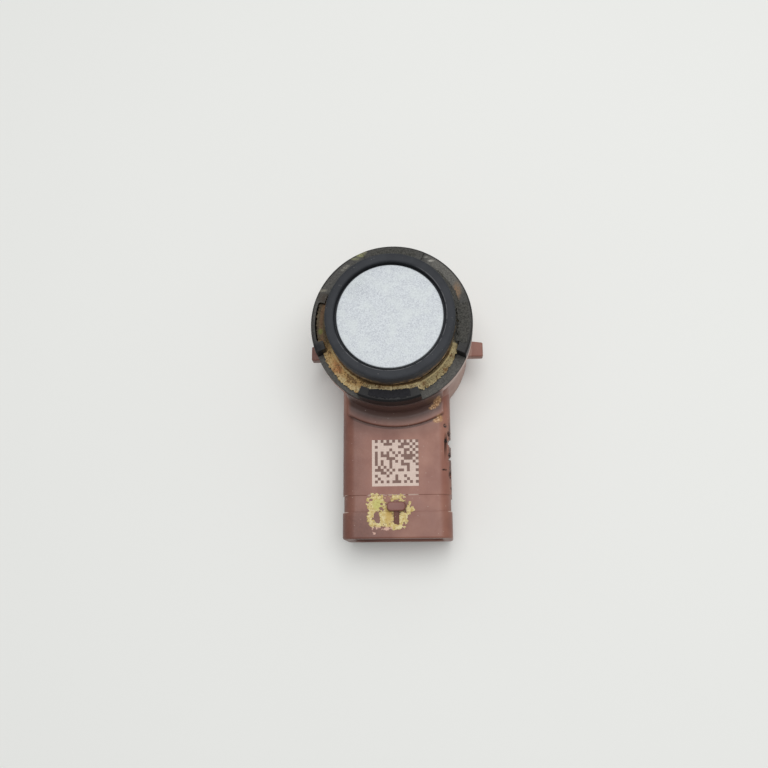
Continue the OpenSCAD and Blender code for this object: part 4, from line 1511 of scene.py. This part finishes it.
def even_light(form):
    """Makes the world: an even light, and a pale background for the camera."""
    world = bpy.data.worlds.new("Studio")
    world.use_nodes = True
    world.node_tree.nodes.clear()
    nodes = Nodes(world.node_tree)
    seen = nodes.out("ShaderNodeLightPath", output="Is Camera Ray")
    sky = nodes.out("ShaderNodeBackground", {"Color": (1, 1, 1), "Strength": form.sky_strength})
    pale = nodes.out("ShaderNodeBackground", {"Color": tuple(form.floor), "Strength": 1.0})
    mixed = nodes.out("ShaderNodeMixShader", {0: seen, 1: sky, 2: pale})
    nodes.add("ShaderNodeOutputWorld", {"Surface": mixed})
    return world


class SENSOR_OT_stage(bpy.types.Operator):
    """Set up the floor, the light and the camera"""
    bl_idname = "sensor.stage"
    bl_label = "Set the stage"

    def execute(self, context):
        form = context.scene.sensor_stage
        scene = context.scene
        deselect()
        bpy.ops.mesh.primitive_plane_add(size=FLOOR_SIDE)
        floor = context.object
        floor.name = "floor"
        floor.data.materials.append(floor_finish(tuple(form.floor)))
        scene.world = even_light(form)
        scene.view_settings.view_transform = "Standard"

        bpy.ops.object.light_add(type="AREA", location=form.lamp_place)
        lamp = context.object
        lamp.data.energy = form.lamp_power
        lamp.data.size = form.lamp_size
        lamp.rotation_euler = (-Vector(form.lamp_place)).to_track_quat("-Z", "Y").to_euler()

        place_at = Vector(form.camera_place)
        ahead = (Vector(form.camera_aim) - place_at).normalized()
        right = ahead.cross(Vector((0, 1, 0))).normalized()
        up = right.cross(ahead)
        axes = Matrix((right, up, -ahead)).transposed() @ Matrix.Rotation(form.camera_roll, 3, "Z")
        bpy.ops.object.camera_add(location=place_at, rotation=axes.to_euler())
        camera = context.object
        camera.data.sensor_width = FILM_WIDTH
        camera.data.lens = form.lens
        camera.data.clip_start = MM
        scene.camera = camera
        return {"FINISHED"}


class SENSOR_PT_panel(bpy.types.Panel):
    """The steps of the parking sensor"""
    bl_label = "Parking sensor"
    bl_idname = "SENSOR_PT_panel"
    bl_space_type = "VIEW_3D"
    bl_region_type = "UI"
    bl_category = "Sensor"

    def draw(self, context):
        for step in STEPS:
            self.layout.operator(step.bl_idname)
        for name in GROUPS:
            box = self.layout.box()
            values = getattr(context.scene, name)
            for field in values.bl_rna.properties.keys():
                if field not in {"rna_type", "name"}:
                    box.prop(values, field)


GROUPS = {
    "sensor_housing": HousingSettings,
    "sensor_sleeve": SleeveSettings,
    "sensor_head": HeadSettings,
    "sensor_dirt": DirtSettings,
    "sensor_stage": StageSettings,
}
STEPS = (
    SENSOR_OT_stage, SENSOR_OT_housing, SENSOR_OT_sleeve, SENSOR_OT_ring, SENSOR_OT_membrane, SENSOR_OT_dirt,
    SENSOR_OT_residue, SENSOR_OT_terminals, SENSOR_OT_inside,
)


def register():
    for name, kind in GROUPS.items():
        bpy.utils.register_class(kind)
        setattr(bpy.types.Scene, name, PointerProperty(type=kind))
    for kind in (*STEPS, SENSOR_PT_panel):
        bpy.utils.register_class(kind)


def unregister():
    for kind in (SENSOR_PT_panel, *reversed(STEPS)):
        bpy.utils.unregister_class(kind)
    for name, kind in GROUPS.items():
        delattr(bpy.types.Scene, name)
        bpy.utils.unregister_class(kind)


def main():
    register()
    bpy.ops.sensor.stage()
    bpy.ops.sensor.housing()
    bpy.ops.sensor.sleeve()
    bpy.ops.sensor.ring()
    bpy.ops.sensor.membrane()
    bpy.ops.sensor.dirt()
    bpy.ops.sensor.residue()
    bpy.ops.sensor.terminals()
    bpy.ops.sensor.inside()
    deselect()


if __name__ == "__main__":
    main()
